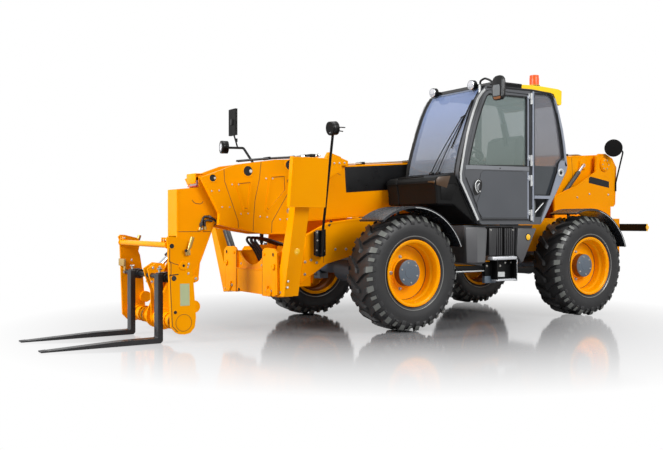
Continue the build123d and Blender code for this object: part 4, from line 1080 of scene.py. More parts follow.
crossMembers = [[(0.350, 2.655), (0.320, 2.682), (0.260, 2.700), (0.200, 2.701), (0.200, 2.665), (0.315, 2.652)],
                [(-0.740, 2.700), (-0.790, 2.660), (-0.811, 2.605), (-0.780, 2.605), (-0.700, 2.640),
                 (-0.680, 2.703)], [(-1.028, 1.840), (-1.024, 1.855), (-0.975, 1.855), (-0.960, 1.790),
                                    (-1.010, 1.770)], [(-0.560, 1.130), (0.385, 1.130), (0.385, 1.172),
                                                       (-0.560, 1.172)],
                [(0.722, 1.640), (0.425, 1.150), (0.380, 1.165), (0.685, 1.660)],
                [(-1.010, 1.770), (-0.610, 1.180), (-0.560, 1.200), (-0.960, 1.790)]]
doorHinges = (2.600, 1.878, 1.643, 1.239)
bm = bmesh.new()
addHoledPlate(bm, cabOutline, [doorGap, rearGap, lowGap], 1.070, 1.120)
addHoledPlate(bm, cabOutline, [farPane, rearGap], 0.188, 0.238)
for k, outline in enumerate(crossMembers):
    addPrism(bm, outline, 0.237, 1.071, mat=2 if k == 0 else 0)
for z in doorHinges:
    addDisc(bm, (-0.3975, 1.132, z - 0.064), (0, 0, 1), 0.013, 0.060, 0.002, 18, 1)
    addDisc(bm, (-0.3975, 1.132, z - 0.034), (0, 0, 1), 0.005, 0.068, 0.001, 12, 1)
    addBox(bm, (-0.420, 1.118, z - 0.058), (-0.3975, 1.136, z - 0.010), 0.003, 1)
# the edges toward the windscreen and above it stay black
for face in bm.faces:
    middle = face.calc_center_median() - wheelbaseShift
    if face.normal.x > 0.5 and (middle.x > 0.64 or middle.z > 1.80 and middle.x > 0.34):
        face.material_index = 2
makePiece("cabShell", bm, "machine", ["cabPaint", "chromeAndHighlightGrey", "holeBlack"], ("cab_frame",), 34,
          0.006)

pillarHighlight = [(0.336, 2.650), (0.382, 2.606), (0.434, 2.536), (0.500, 2.400), (0.554, 2.262), (0.603, 2.110),
                (0.642, 1.952), (0.676, 1.790), (0.695, 1.690), (0.690, 1.610), (0.590, 1.440), (0.436, 1.180)]
bm = bmesh.new()
for face, side in ((cabNear, 1), (cabFar, -1)):
    # black outer band with a light grey bead beside it: painted highlight along the pillar
    addRibbon(bm, [(x - 0.016, z) for x, z in cabFront], face, 0.030, side * 0.004, mat=4)
    addRibbon(bm, pillarHighlight, face, 0.024, side * 0.010, mat=1)
    addRibbon(bm, [(0.690, 1.585), (0.410, 1.138)], face, 0.020, side * 0.004)
    addRibbon(bm, [(0.300, 2.676), (0.000, 2.692), (-0.440, 2.700), (-0.720, 2.690), (-0.775, 2.650)], face, 0.020,
              side * 0.004)
    # rear tube of the frame in a lighter blue-grey: painted reflection
    addRibbon(bm, [(-0.790, 2.638), (-0.862, 2.450), (-0.922, 2.270), (-0.963, 2.090), (-0.988, 1.915),
                   (-0.997, 1.835)], face, 0.036, side * 0.008, mat=2)
    addPrism(bm, [(-1.018, 1.838), (-0.975, 1.900), (-0.905, 1.900), (-0.868, 1.862), (-0.845, 1.760),
                  (-0.722, 1.478), (-0.700, 1.432), (-0.580, 1.212), (-0.562, 1.150), (-0.600, 1.185),
                  (-0.998, 1.772)], face, face + side * 0.008, mat=2)
    addRibbon(bm, rearGap, face, 0.008, side * 0.010, closed=True)
    addRibbon(bm, [(-0.545, 1.142), (0.375, 1.142), (0.412, 1.162)], face, 0.022, side * 0.008, mat=3)
    addRibbon(bm, [(-0.402, 1.160), (-0.402, 2.690)], face, 0.014, side * 0.004)
    addRibbon(bm, [(-0.432, 2.690), (-0.432, 1.160)], face, 0.026, side * 0.010, mat=2)
    addRibbon(bm, [(-0.450, 1.452), (-0.712, 1.452)], face, 0.036, side * 0.012, mat=2)
    addRod(bm, (-0.500, face - side * 0.030, 1.270), (-0.640, face - side * 0.030, 1.385), 0.007, 8, 1)
    # round vent latch on the corner plate
    addLathe(bm, (-0.903, face + side * 0.006, 1.752), (0, side, 0),
             [(0, 0), (0.050, 0), (0.050, 0.008), (0.044, 0.012), (0.034, 0.012), (0.032, 0.004), (0, 0.004)], 32,
             1)
    addDisc(bm, (-0.903, face + side * 0.008, 1.752), (0, side, 0), 0.024, 0.004, 0.001, 20, 4)
makePiece("cabEdges", bm, "machine", ["glossBlack", "chromeAndHighlightGrey", "frameReflectionGrey", "cabPaint", "holeBlack"],
          (), 40, 0.003)

# windscreen and side panes
bm = bmesh.new()
inner = [(x - 0.006, z) for x, z in cabFront]
addPrism(bm, cabFront + inner[::-1], 0.2385, 1.0695)
for y in (1.090, 0.208):
    addPrism(bm, rearGap, y, y + 0.006, mat=1)
addPrism(bm, farPane, 0.208, 0.214, mat=2)
addPrism(bm, [(-0.811, 2.6047), (-0.805, 2.6047), (-0.929, 2.290), (-1.005, 1.915), (-1.018, 1.8553),
              (-1.024, 1.8553), (-1.011, 1.915), (-0.935, 2.290)], 0.2385, 1.0695)
makePiece("cabPanes", bm, "machine", ["screenGlass", "sideGlass", "farGlass"], ("cab_glass",), 40)
bm = bmesh.new()
for lowY, highY in ((0.2385, 0.248), (1.046, 1.0695)):
    edge = [(x + 0.0015, z) for x, z in cabFront]
    addPrism(bm, edge + [(x - 0.0005, z) for x, z in cabFront][::-1], lowY, highY)
addPrism(bm, [(0.3535, 2.655), (0.3325, 2.6765), (0.3295, 2.6735), (0.3495, 2.655)], 0.262, 1.046, mat=1)
addPrism(bm, [(0.7235, 1.640), (0.7255, 1.700), (0.7235, 1.706), (0.7215, 1.640)], 0.262, 1.046)
makePiece("screenBorder", bm, "machine", ["glossBlack", "bandBlue"], (), 40)

# door with its pane
doorOutline = [(-0.379, 2.646), (-0.379, 1.176), (0.384, 1.176), (0.614, 1.632), (0.626, 1.690), (0.621, 1.745),
               (0.577, 1.932), (0.529, 2.113), (0.473, 2.291), (0.406, 2.459), (0.338, 2.597), (0.298, 2.634),
               (0.248, 2.648)]
doorPane = [(-0.335, 2.616), (-0.335, 1.812), (0.550, 1.786), (0.568, 1.800), (0.530, 1.960), (0.482, 2.120),
            (0.428, 2.285), (0.362, 2.450), (0.300, 2.575), (0.262, 2.606)]
bm = bmesh.new()
addHoledPlate(bm, doorOutline, [doorPane], 1.076, 1.116)
for z in doorHinges:
    addBox(bm, (-0.378, 1.106, z - 0.0037), (-0.345, 1.122, z + 0.030), 0.002, 1)
makePiece("doorLeaf", bm, "door", ["cabPaint", "frameReflectionGrey"], ("cab_door",), 34, 0.005)
bm = bmesh.new()
addPrism(bm, doorPane, 1.093, 1.099)
makePiece("doorPane", bm, "door", "doorGlass", ("door_glass",), 40)

bm = bmesh.new()
face = doorFace
panel = [(-0.262, 1.742), (-0.338, 1.690), (-0.348, 1.660), (-0.352, 1.208), (0.366, 1.206), (0.432, 1.292),
         (0.449, 1.372), (0.402, 1.460), (0.380, 1.540), (0.404, 1.628), (0.390, 1.700), (0.352, 1.735)]
addRibbon(bm, doorPane, face, 0.014, 0.003, closed=True)
addRibbon(bm, [(0.618, 1.762), (0.560, 1.768), (-0.374, 1.780)], face, 0.044, 0.005, mat=6)
addRibbon(bm, [(-0.356, 1.745), (-0.356, 1.200)], face, 0.022, 0.004, mat=2)
addRibbon(bm, [(-0.356, 2.640), (-0.356, 1.812)], face, 0.020, 0.004, mat=2)
addPrism(bm, panel, 1.115, 1.1195, mat=5)
addRibbon(bm, panel, face, 0.006, 0.0012, closed=True, mat=4)
addRibbon(bm, [(-0.362, 1.190), (0.376, 1.190), (0.608, 1.650)], face, 0.012, 0.002)
addDisc(bm, (0.096, face + 0.004, 1.770), (0, 1, 0), 0.009, 0.003, 0.001, 16, 4)
# oval handle cup with its lever
for reach, tall, low, high, mat in ((0.076, 0.100, 1.115, 1.1225, 3), (0.068, 0.092, 1.115, 1.1240, 4),
                                    (0.030, 0.046, 1.115, 1.1246, 3)):
    oval = [(0.443 + reach * cos(k * pi / 14) - tall * sin(k * pi / 14) * 0.16,
             1.547 + tall * sin(k * pi / 14) - reach * cos(k * pi / 14) * 0.16) for k in range(28)]
    addPrism(bm, oval, low, high, "XZ", 0.0, mat)
addTube(bm, [(0.408, 1.124, 1.614), (0.448, 1.136, 1.628), (0.490, 1.138, 1.590), (0.486, 1.138, 1.520),
             (0.440, 1.124, 1.486)], 0.007, 0.03, 12, 1)
addTube(bm, [(0.418, 1.126, 1.592), (0.452, 1.130, 1.560), (0.440, 1.126, 1.510)], 0.006, 0.02, 10, 1)
addDisc(bm, (0.410, 1.1235, 1.500), (0, 1, 0), 0.010, 0.006, 0.002, 18, 1)
# strap hinges
for z in doorHinges:
    addBox(bm, (-0.392, 1.1165, z + 0.002), (-0.362, 1.125, z + 0.060), 0.003, 1)
    for rise in (0.016, 0.046):
        addBolt(bm, (-0.372, 1.125, z + rise), (0, 1, 0), 0.006, 2)
    addLathe(bm, (-0.3975, 1.132, z - 0.003), (0, 0, 1), [(0, 0), (0.013, 0), (0.013, 0.064), (0.010, 0.067),
                                                          (0, 0.067)], 20, 1)
makePiece("doorDressing", bm, "door", ["glossBlack", "chromeAndHighlightGrey", "frameReflectionGrey", "cabPaint", "holeBlack",
                                                   "doorPanel", "beltGrey"], (), 34, 0.002)

bm = bmesh.new()
# sills of the rear panes: opaque lower half under a tinted band
for lowY in (1.0965, 0.2035):
    addPrism(bm, [(-0.452, 1.822), (-0.452, 1.476), (-0.707, 1.480), (-0.835, 1.760), (-0.850, 1.822)], lowY,
             lowY + 0.003)
makePiece("rearPaneDark", bm, "machine", "tintDark")

# wipers on the windscreen
def onScreen(y, z, out=0.0):
    for (lowX, lowZ), (highX, highZ) in zip(cabFront, cabFront[1:]):
        if lowZ <= z <= highZ:
            return (lowX + (highX - lowX) * (z - lowZ) / (highZ - lowZ) + out, y, z)
    return (cabFront[-1][0] + out, y, z)


bm = bmesh.new()
for foot, tip in (((0.690, 1.705), (1.000, 2.325)), ((0.800, 1.700), (1.036, 2.344))):
    route = [onScreen(foot[0] + (tip[0] - foot[0]) * k / 6, foot[1] + (tip[1] - foot[1]) * k / 6, 0.034)
             for k in range(7)]
    addTube(bm, route, 0.0065, 0.05, 10, 0, 2)
addRod(bm, onScreen(0.985, 2.325, 0.034), onScreen(1.045, 2.350, 0.034), 0.009, 10)
for out, radius in ((0.020, 0.0065), (0.010, 0.004)):
    blade = [(1.052, 2.530), (1.044, 2.430), (1.024, 2.325), (0.998, 2.200), (0.972, 2.090), (0.946, 1.985)]
    addTube(bm, [onScreen(y, z, out) for y, z in blade], radius, 0.05, 8, 0, 2)
for y in (0.690, 0.800):
    addDisc(bm, onScreen(y, 1.705, 0.006), (1, 0, 0), 0.022, 0.040, 0.006, 24)
addRod(bm, (-0.880, 1.085, 2.250), (-0.930, 1.085, 2.080), 0.006, 8)
makePiece("wipers", bm, "machine", "glossBlack", (), 50)

bm = bmesh.new()
# headlining, visor, console, steering wheel, pedals, levers, belt
addBox(bm, (-0.700, 0.245, 2.640), (0.240, 1.065, 2.656), 0.006)
addPrism(bm, [(0.385 + 0.098 * cos(k * pi / 10), 2.612 + 0.046 * sin(k * pi / 10)) for k in range(20)], 0.280,
         0.294, "YZ", 0.003, 1)
addLathe(bm, (0.125, 0.640, 1.985), (-0.50, 0, 0.866), [(0.165, -0.018), (0.178, -0.013), (0.183, 0.0),
                                                        (0.178, 0.013), (0.165, 0.018), (0.152, 0.013),
                                                        (0.147, 0.0), (0.152, -0.013), (0.165, -0.018)], 48, 1)
addLathe(bm, (0.134, 0.640, 1.969), (-0.50, 0, 0.866), [(0, 0), (0.050, 0), (0.052, 0.014), (0.040, 0.026),
                                                        (0, 0.028)], 28, 1)
for turned in (pi / 2, pi * 7 / 6, pi * 11 / 6):
    across, along = cos(turned) * 0.165, sin(turned) * 0.165
    addRod(bm, (0.125, 0.640, 1.981), (0.125 + across * 0.866, 0.640 + along, 1.981 + across * 0.50), 0.012, 10, 1)
addRod(bm, (0.145, 0.640, 1.950), (0.330, 0.640, 1.560), 0.042, 16, 1)
addBox(bm, (0.250, 0.520, 1.730), (0.420, 0.770, 1.790), 0.02, 1)
for nearY, farY in ((0.700, 0.850), (0.580, 0.450)):
    addRod(bm, (0.205, nearY, 1.846), (0.200, farY, 1.866), 0.008, 8, 1)
for y in (0.500, 0.780):
    addRod(bm, (0.330, y, 1.200), (0.300, y, 1.300), 0.010, 8, 1)
    addBox(bm, (0.275, y - 0.035, 1.290), (0.290, y + 0.035, 1.370), 0.004, 1)
addBox(bm, (-0.380, 0.265, 1.420), (0.240, 0.400, 1.640), 0.03, 1)
addRod(bm, (0.080, 0.330, 1.630), (0.105, 0.330, 1.780), 0.009, 10, 1)
addLathe(bm, (0.105, 0.330, 1.775), (0.16, 0, 0.98), [(0, 0), (0.020, 0.002), (0.027, 0.030), (0.024, 0.070),
                                                      (0.012, 0.090), (0, 0.092)], 20, 1)
addBox(bm, (-0.300, 0.905, 1.640), (0.020, 0.965, 1.700), 0.02, 1)
addRod(bm, (-0.300, 0.930, 1.560), (-0.280, 0.935, 1.650), 0.014, 10, 1)
# belt webbing from the rear post down to the seat
addPrism(bm, [(-0.150, 2.310), (-0.075, 2.305), (-0.145, 2.046), (-0.209, 2.049)], 0.948, 0.953, mat=1)
addBox(bm, (-0.600, 0.560, 2.060), (-0.510, 0.740, 2.190), 0.03, 2)
makePiece("cabTrim", bm, "machine", ["interiorGrey", "trimDark", "seatCloth"], (), 40, 0.003)

bm = bmesh.new()
addBox(bm, (-0.400, 0.425, 1.545), (0.075, 0.875, 1.640), 0.035)
cushion = makePiece("seatCushion", bm, "machine", "seatCloth", (), 50)
bm = bmesh.new()
addPrism(bm, [(-0.500, 1.600), (-0.385, 1.605), (-0.475, 2.040), (-0.555, 2.062), (-0.590, 2.025)], 0.430, 0.870,
         "XZ", 0.03)
backrest = makePiece("seatBack", bm, "machine", "seatCloth", (), 50)
print("cab dressed")


# roof, lamps, mirrors and beacon

bm = bmesh.new()
addRibbon(bm, [(0.236, 2.708), (0.190, 2.738), (0.060, 2.750), (-0.255, 2.752)], 1.109, 0.020, 0.008)
addPrism(bm, [(0.246, 2.705), (0.205, 2.7475), (0.060, 2.7595), (-0.200, 2.7595), (-0.200, 2.7575), (0.060, 2.7575),
              (0.203, 2.745)], 0.199, 1.109)
for y in (0.330, 0.520, 0.760, 0.950):
    addPrism(bm, [(-0.280, 2.7580), (-0.530, 2.7690), (-0.860, 2.7585), (-0.860, 2.7640), (-0.530, 2.7775),
                  (-0.290, 2.7660)], y - 0.03, y + 0.03, mat=1)
addLathe(bm, (-0.562, 1.020, 2.768), (0, 0, 1), [(0, 0), (0.066, 0), (0.066, 0.014), (0.060, 0.022), (0, 0.022)],
         36)
makePiece("roofTrim", bm, "machine", ["glossBlack", "roofYellow"], (), 36, 0.002)

bm = bmesh.new()
addLathe(bm, (-0.562, 1.020, 2.789), (0, 0, 1), [(0, 0), (0.056, 0), (0.0562, 0.082), (0.053, 0.096),
                                                 (0.044, 0.108), (0.028, 0.1145), (0, 0.116)])
makePiece("beacon", bm, "machine", ["beaconLens"], (), 36)


def addLampHead(bm, place, facing, radius, depth, mat=0, lens=1, chrome=2):
    addLathe(bm, place, facing, [(0, -depth), (radius * 0.55, -depth), (radius * 0.86, -depth * 0.72),
                                 (radius, -depth * 0.25), (radius, -0.004), (radius * 0.97, 0.0),
                                 (radius * 0.90, 0.0)], 36, mat)
    addLathe(bm, place, facing, [(radius * 0.90, 0.0), (radius * 0.93, 0.003), (radius * 0.88, 0.004)], 36, chrome)
    addLathe(bm, place, facing, [(radius * 0.885, 0.001), (radius * 0.6, 0.007), (radius * 0.3, 0.010), (0, 0.011)],
             36, lens)
    # pressed ribs of the lens
    centre, way = Vector(place), Vector(facing).normalized()
    side = way.cross(Vector((0, 0, 1))).normalized()
    for k in range(-3, 4):
        reach = radius * 0.82 * cos(k * 0.42)
        shift = side * (k * radius * 0.23) + way * 0.0085
        low, high = centre + shift - Vector((0, 0, reach * 0.85)), centre + shift + Vector((0, 0, reach * 0.85))
        addRod(bm, tuple(low), tuple(high), 0.0022, 6, lens)


bm = bmesh.new()
# near lamp on its tall post, lens to the front
addLampHead(bm, (2.150, 0.745, 2.131), (0.985, 0.0, -0.10), 0.074, 0.085)
addRod(bm, (2.120, 0.740, 2.075), (2.120, 0.742, 2.098), 0.018)
addRod(bm, (2.070, 0.748, 2.150), (1.985, 0.770, 2.150), 0.006, 8)
addRod(bm, (2.075, 0.748, 2.115), (2.010, 0.765, 2.108), 0.006, 8)
# far lamp
addLampHead(bm, (2.592, -0.953, 2.046), (0.985, -0.16, 0.0), 0.077, 0.080)
# two work lamps over the windscreen
for y in (0.302, 0.972):
    addLampHead(bm, (0.408, y, 2.709), (0.996, 0.05, -0.09), 0.056, 0.060)
    addBox(bm, (0.318, y - 0.020, 2.690), (0.352, y + 0.020, 2.722))
    addTube(bm, [(0.338, y + 0.030, 2.712), (0.300, y + 0.024, 2.716), (0.285, y + 0.005, 2.708)], 0.005, 0.01, 8)
makePiece("lampHeads", bm, "machine", ["glossBlack", "clearLens", "chromeRod"], (), 36)

bm = bmesh.new()
# clamp plates of the near post
addBox(bm, (2.062, 0.493, 0.790), (2.184, 0.502, 1.070), 0.010)
addRod(bm, (2.110, 0.512, 0.790), (2.114, 0.560, 1.080), 0.020)
addSideBolts(bm, 0.502, 1, ((2.163, 0.961), (2.080, 0.960), (2.170, 0.855), (2.080, 0.850), (2.165, 1.045),
                            (2.080, 1.045)), 0.009, 1)
# mirror shells: cab mirror and far mirror
shell = [(1.330, 2.493), (1.420, 2.493), (1.450, 2.510), (1.462, 2.540), (1.4645, 2.620), (1.4645, 2.690),
         (1.455, 2.725), (1.432, 2.752), (1.400, 2.764), (1.365, 2.766), (1.325, 2.762), (1.292, 2.742),
         (1.277, 2.710), (1.274, 2.650), (1.276, 2.560), (1.285, 2.520), (1.302, 2.500)]
addPrism(bm, shell, 0.346, 0.376, "YZ", 0.010)
middle = Vector((1.370, 2.630))
addPrism(bm, [tuple(middle + (Vector(p) - middle) * 0.90) for p in shell], 0.3445, 0.347, "YZ", 0.0, 2)
addPrism(bm, [(1.296, 2.544), (1.400, 2.544), (1.402, 2.640), (1.392, 2.664), (1.300, 2.664), (1.290, 2.640)],
         0.374, 0.3775, "YZ", 0.0, 4)
addPrism(bm, [(1.312, 2.506), (1.406, 2.506), (1.414, 2.534), (1.298, 2.534)], 0.374, 0.3775, "YZ", 0.0, 3)
addPrism(bm, [(1.428, 2.530), (1.440, 2.540), (1.444, 2.690), (1.434, 2.720)], 0.374, 0.3770, "YZ", 0.0, 4)
addRod(bm, (0.372, 1.082, 2.612), (0.372, 1.082, 2.702), 0.014, 12, 5)
addTube(bm, [(0.352, 1.075, 2.690), (0.340, 1.050, 2.748), (0.340, 1.125, 2.772), (0.352, 1.205, 2.745),
             (0.361, 1.300, 2.690)], 0.012, 0.03)
addBox(bm, (2.548, -0.782, 2.166), (2.574, -0.618, 2.464), 0.014)
addBox(bm, (2.543, -0.774, 2.176), (2.549, -0.626, 2.454), 0.008, 2)
addBox(bm, (2.576, -0.730, 2.280), (2.590, -0.670, 2.350), 0.006)
addLathe(bm, (2.520, -0.703, 2.090), (0, 0, 1), [(0, 0), (0.014, 0), (0.014, 0.040), (0, 0.040)], 12)
addBox(bm, (0.300, 1.045, 2.676), (0.366, 1.098, 2.700))
addRod(bm, (2.360, -0.383, 0.92), (2.360, -0.383, 1.10), 0.022, 14)
for z in (0.94, 1.05):
    addBox(bm, (2.325, -0.408, z), (2.395, -0.378, z + 0.030), 0.004, 1)
makePiece("mirrors", bm, "machine", ["glossBlack", "zincBolt", "mirrorFace", "amberGlass",
                                                          "mirrorShell", "chromeAndHighlightGrey"], (), 40, 0.002)
print("lamps and mirrors made")


# cowl, chassis shade sheets, tank and steps

bm = bmesh.new()
cowlSide = [(1.045, 1.602), (1.016, 1.480), (1.004, 1.345), (0.775, 1.345), (0.440, 1.132), (0.700, 1.600),
            (0.735, 1.672), (0.800, 1.690), (1.010, 1.652)]
addPrism(bm, cowlSide, 0.424, cowlFace)
addPrism(bm, cowlSide[:4] + cowlSide[5:], 0.215, 0.424)
makePiece("cowlBody", bm, "machine", ["blackPlastic"], ("front_cowl",), 30, 0.022)

bm = bmesh.new()
# raised panels and the folded ledge along the cowl's top
addRibbon(bm, [(0.985, 1.570), (0.760, 1.596), (0.712, 1.560)], cowlFace, 0.016, 0.006)
addPrism(bm, [(0.965, 1.560), (0.955, 1.400), (0.800, 1.396), (0.745, 1.500), (0.775, 1.580)], cowlFace, 1.106,
         "XZ", 0.003)
addPrism(bm, [(0.700, 1.540), (0.680, 1.490), (0.500, 1.190), (0.460, 1.160), (0.480, 1.210)], cowlFace, 1.106,
         "XZ", 0.003)
addPrism(bm, [(0.420, 1.645), (0.880, 1.652), (0.880, 1.664), (0.420, 1.660)], 1.012, 1.020, "YZ")
addPrism(bm, [(0.250, 1.595), (1.060, 1.590), (1.060, 1.575), (0.250, 1.582)], 1.036, 1.046, "YZ", 0.002)
# brown shaded corner panel beside the windscreen
addPrism(bm, [(1.028, 1.618), (0.990, 1.650), (0.826, 1.664), (0.878, 1.529), (1.022, 1.560)], cowlFace, 1.1075,
         "XZ", 0.003, 1)
addPrism(bm, [(0.985, 1.604), (1.096, 1.604), (1.096, 1.578), (0.985, 1.590)], 1.036, 1.0465, "YZ", 0.002, 1)
makePiece("cowlPanels", bm, "machine", ["blackPlastic", "brownShade"], (), 32, 0.002)

bm = bmesh.new()
# dark sheets on the chassis between the wheels and inside the arches: painted shade, with bolts on them
addPrism(bm, [(1.000, 0.790), (1.000, 1.190), (0.480, 1.190), (0.420, 1.120), (0.420, 0.575), (0.870, 0.575)],
         0.4203, 0.4255)
addPrism(bm, [(-0.560, 0.575), (-0.560, 1.110), (-0.680, 1.190), (-0.900, 1.190), (-0.980, 0.790), (-0.850, 0.575)],
         0.4203, 0.4255)
addSideBolts(bm, 0.4255, 1, ((0.95, 1.10), (0.95, 0.86), (0.60, 1.15), (0.60, 0.62)), 0.009, 1)
makePiece("chassisShadeSheets", bm, "machine", ["blackPlastic", "zincBolt"], (), 30)

bm = bmesh.new()
# seams, slot, bolts and brackets on the chassis side plates
for side in (1, -1):
    face = side * chassisFace
    addPrism(bm, [(1.915, 1.165), (1.955, 1.105), (1.978, 1.120),
                  (1.940, 1.180)] if side > 0 else [(1.915, 1.120), (1.955, 1.065), (1.978, 1.080), (1.940, 1.135)],
             face, face + side * 0.0014, mat=1)
    addRibbon(bm, [(2.033, 1.090), (2.033, 0.720)], face, 0.007, side * 0.0012, mat=3)
    addRibbon(bm, [(2.250, 1.012), (1.970, 1.142), (1.505, 1.196), (1.060, 1.196)], face, 0.016, side * 0.005)
    addRibbon(bm, [(2.322, 0.510), (2.000, 0.712), (1.722, 0.778), (1.050, 0.790)], face, 0.012, side * 0.004)
    addSideBolts(bm, face, side, ((2.192, 0.751), (2.267, 0.731), (2.120, 0.720), (2.270, 0.600), (1.880, 0.86),
                                  (1.740, 0.86), (1.500, 0.86)), 0.013)
    addSideBolts(bm, face, side, ((-1.20, 1.16), (-1.60, 1.16), (-2.10, 1.16), (-2.60, 1.16), (-2.60, 0.78),
                                  (-2.10, 0.72)), 0.012)
    addRibbon(bm, [(-0.700, 1.196), (-2.893, 1.196), (-2.893, 0.732), (-2.010, 0.654)], face, 0.012, side * 0.004)
    # tower plates: edge bead, gusset bolts
    addRibbon(bm, [(-1.757, 1.200), (-1.757, 1.505), (-2.200, 1.655), (-2.590, 1.866), (-2.612, 2.078),
                   (-2.655, 2.108), (-2.788, 2.113), (-2.935, 2.055), (-3.018, 1.935), (-2.993, 1.420)],
              side * towerFace, 0.012, side * 0.004)
    addSideBolts(bm, side * towerFace, side, ((-2.45, 1.55), (-2.20, 1.50), (-2.85, 1.55), (-1.90, 1.30),
                                              (-2.60, 1.30)), 0.012)
makePiece("chassisDressing", bm, "machine", ["yellowPaint", "holeBlack", "zincBolt", "seamAndShadeBrown"], (),
          30, 0.001)

bm = bmesh.new()
# tank: three panels over the core, ribs in the middle, cap at the rear
panelLeft = [(0.590, 1.106), (0.570, 0.700), (0.283, 0.690), (0.253, 1.080), (0.300, 1.106)]
panelRight = [(-0.222, 1.090), (-0.205, 0.775), (-0.280, 0.690), (-0.310, 0.690), (-0.536, 1.086)]
core = [(0.575, 1.120), (0.565, 0.700), (0.300, 0.662), (0.250, 0.772), (-0.060, 0.772), (-0.200, 0.692),
        (-0.330, 0.682), (-0.500, 1.080), (-0.520, 1.120)]
addPrism(bm, core, 0.4204, 1.040)
addPrism(bm, panelLeft, 1.020, 1.090, "XZ", 0.022)
addPrism(bm, panelRight, 1.020, 1.090, "XZ", 0.018)
addPrism(bm, [(0.420, 1.092), (0.415, 0.705), (0.300, 0.705), (0.280, 1.080)], 1.088, 1.0905, mat=4)
addPrism(bm, [(0.222, 1.091), (0.222, 0.775), (0.110, 0.775), (0.100, 1.091)], 1.020, 1.078, "XZ", 0.008, 1)
for x in (0.082, 0.052, 0.022, -0.040, -0.072, -0.104, -0.136, -0.168):
    addBox(bm, (x - 0.011, 1.020, 0.775), (x + 0.011, 1.070, 1.090), 0.005, 1)
addBox(bm, (-0.190, 1.010, 0.775), (0.240, 1.046, 1.100), 0.004, 2)
for x, z in ((0.200, 1.066), (-0.160, 1.066)):
    addBolt(bm, (x, 1.078 if x > 0 else 1.070, z), (0, 1, 0), 0.010, 3)
makePiece("tankBody", bm, "machine", ["tankPlastic", "tankRib", "blackPlastic", "zincBolt",
                                                   "tankLight"], ("side_tank",), 34, 0.0015)

bm = bmesh.new()
addLathe(bm, (-0.386, 1.090, 0.982), (0, 1, 0), [(0, 0), (0.036, 0), (0.036, 0.005), (0.030, 0.009), (0, 0.0105)],
         30, 4)
addLathe(bm, (-0.386, 1.090, 0.982), (0, 1, 0), [(0.036, 0), (0.041, 0), (0.041, 0.006), (0.036, 0.007),
                                                 (0.036, 0)], 30, 1)
# rail under the tank with its lighter edge, box, plate, steps
addBox(bm, (0.266, 0.960, 0.600), (0.690, 1.040, 0.664), 0.004, 1)
addBox(bm, (0.266, 1.036, 0.598), (0.690, 1.044, 0.612), 0.001, 3)
addBox(bm, (-0.545, 0.960, 0.560), (-0.212, 1.040, 0.625), 0.004, 1)
addBox(bm, (0.080, 1.000, 0.545), (0.264, 1.052, 0.704), 0.008, 1)
addBox(bm, (0.086, 1.000, 0.462), (0.262, 1.048, 0.544), 0.008, 2)
addBox(bm, (-0.212, 1.030, 0.505), (0.172, 1.062, 0.716), 0.004, 1)
addPrism(bm, [(0.076, 0.587), (-0.035, 0.584), (-0.035, 0.528), (0.076, 0.530)], 1.062, 1.065, mat=3)
for x, z in ((0.140, 0.655), (0.040, 0.655), (-0.040, 0.690), (-0.140, 0.690), (0.235, 0.660), (0.120, 0.660)):
    addBolt(bm, (x, 1.062 if x < 0.17 else 1.052, z), (0, 1, 0), 0.012, 5)
treadInner, treadRibs = 1.062, 9
for low, high, x0, x1 in ((0.728, 0.762, -0.148, 0.236), (0.487, 0.505, -0.146, 0.175)):
    addBox(bm, (x0, treadInner, low), (x1, 1.150, high), 0.006)
    for k in range(treadRibs):
        x = x0 + 0.03 + k * (x1 - x0 - 0.06) / (treadRibs - 1)
        addBox(bm, (x - 0.006, treadInner + 0.010, high - 0.001), (x + 0.006, 1.144, high + 0.004), 0.001)
for x in (-0.140, 0.160):
    addBox(bm, (x - 0.006, 1.064, 0.490), (x + 0.006, 1.150, 0.745), 0.003, 1)
for x in (-0.146, -0.158):
    addBox(bm, (x - 0.003, 1.060, 0.480), (x + 0.003, 1.140, 0.732), 0.001)
makePiece("stepsAndRail", bm, "machine", ["stepSilverAndHighlight", "blackPlastic", "axleGrey", "chromeAndHighlightGrey",
                                                       "amberLens", "zincBolt"], (), 32, 0.002)

bm = bmesh.new()
# steering hoses, housing bolts and flanges of both axles
steerHose = [(1.380, 0.300, 0.700), (1.480, 0.450, 0.780), (1.500, 0.560, 0.750), (1.440, 0.590, 0.720)]
for way in (1, -1):
    for side in (1, -1):
        addTube(bm, [(way * x, side * y, z) for x, y, z in steerHose], 0.012, 0.06)
housingBolts = 10
for hubX, way in ((wheelX, 1), (-wheelX, -1)):
    for k in range(housingBolts):
        turned = k * 2 * pi / housingBolts
        addBolt(bm, (hubX + way * 0.006 + 0.136 * cos(turned), 0.150, hubZ + 0.136 * sin(turned)), (0, 1, 0), 0.011,
                1)
        addBolt(bm, (hubX + 0.136 * cos(turned), -0.150, hubZ + 0.136 * sin(turned)), (0, -1, 0), 0.011, 1)
    for side in (1, -1):
        addCollar(bm, (hubX, side * 0.150, hubZ), (0, side, 0), 0.120, 0.152, 0.014, 36, 2)
        addCollar(bm, (hubX, side * 0.600, hubZ), (0, side, 0), 0.070, 0.092, 0.016, 30, 2)
makePiece("axleDressing", bm, "machine", ["hoseRubber", "zincBolt", "axleGrey"], (), 36, 0.001)
print("cowl, tank and axles dressed")


# rear end and the right side

bm = bmesh.new()
# light bar: three small lamps, end reflector; the same at the other side
for y0, y1, way in ((0.150, 0.860, 1), (-0.860, -0.150, -1)):
    if way < 0:
        addBox(bm, (-2.935, y0, 1.035), (-2.9053, y1, 1.135))
    for k, mat in enumerate((2, 3, 4)):
        y = way * (0.560 + k * 0.095)
        addDisc(bm, (-2.935, y, 1.085), (-1, 0, 0), 0.036, 0.012, 0.004, 28, mat)
    addBox(bm, (-2.938, min(way * 0.812, way * 0.852), 1.045), (-2.931, max(way * 0.812, way * 0.852), 1.125),
           0.003, 3)
    addDisc(bm, (-2.920, way * 0.861, 1.085), (0, way, 0), 0.030, 0.008, 0.003, 24, 3)
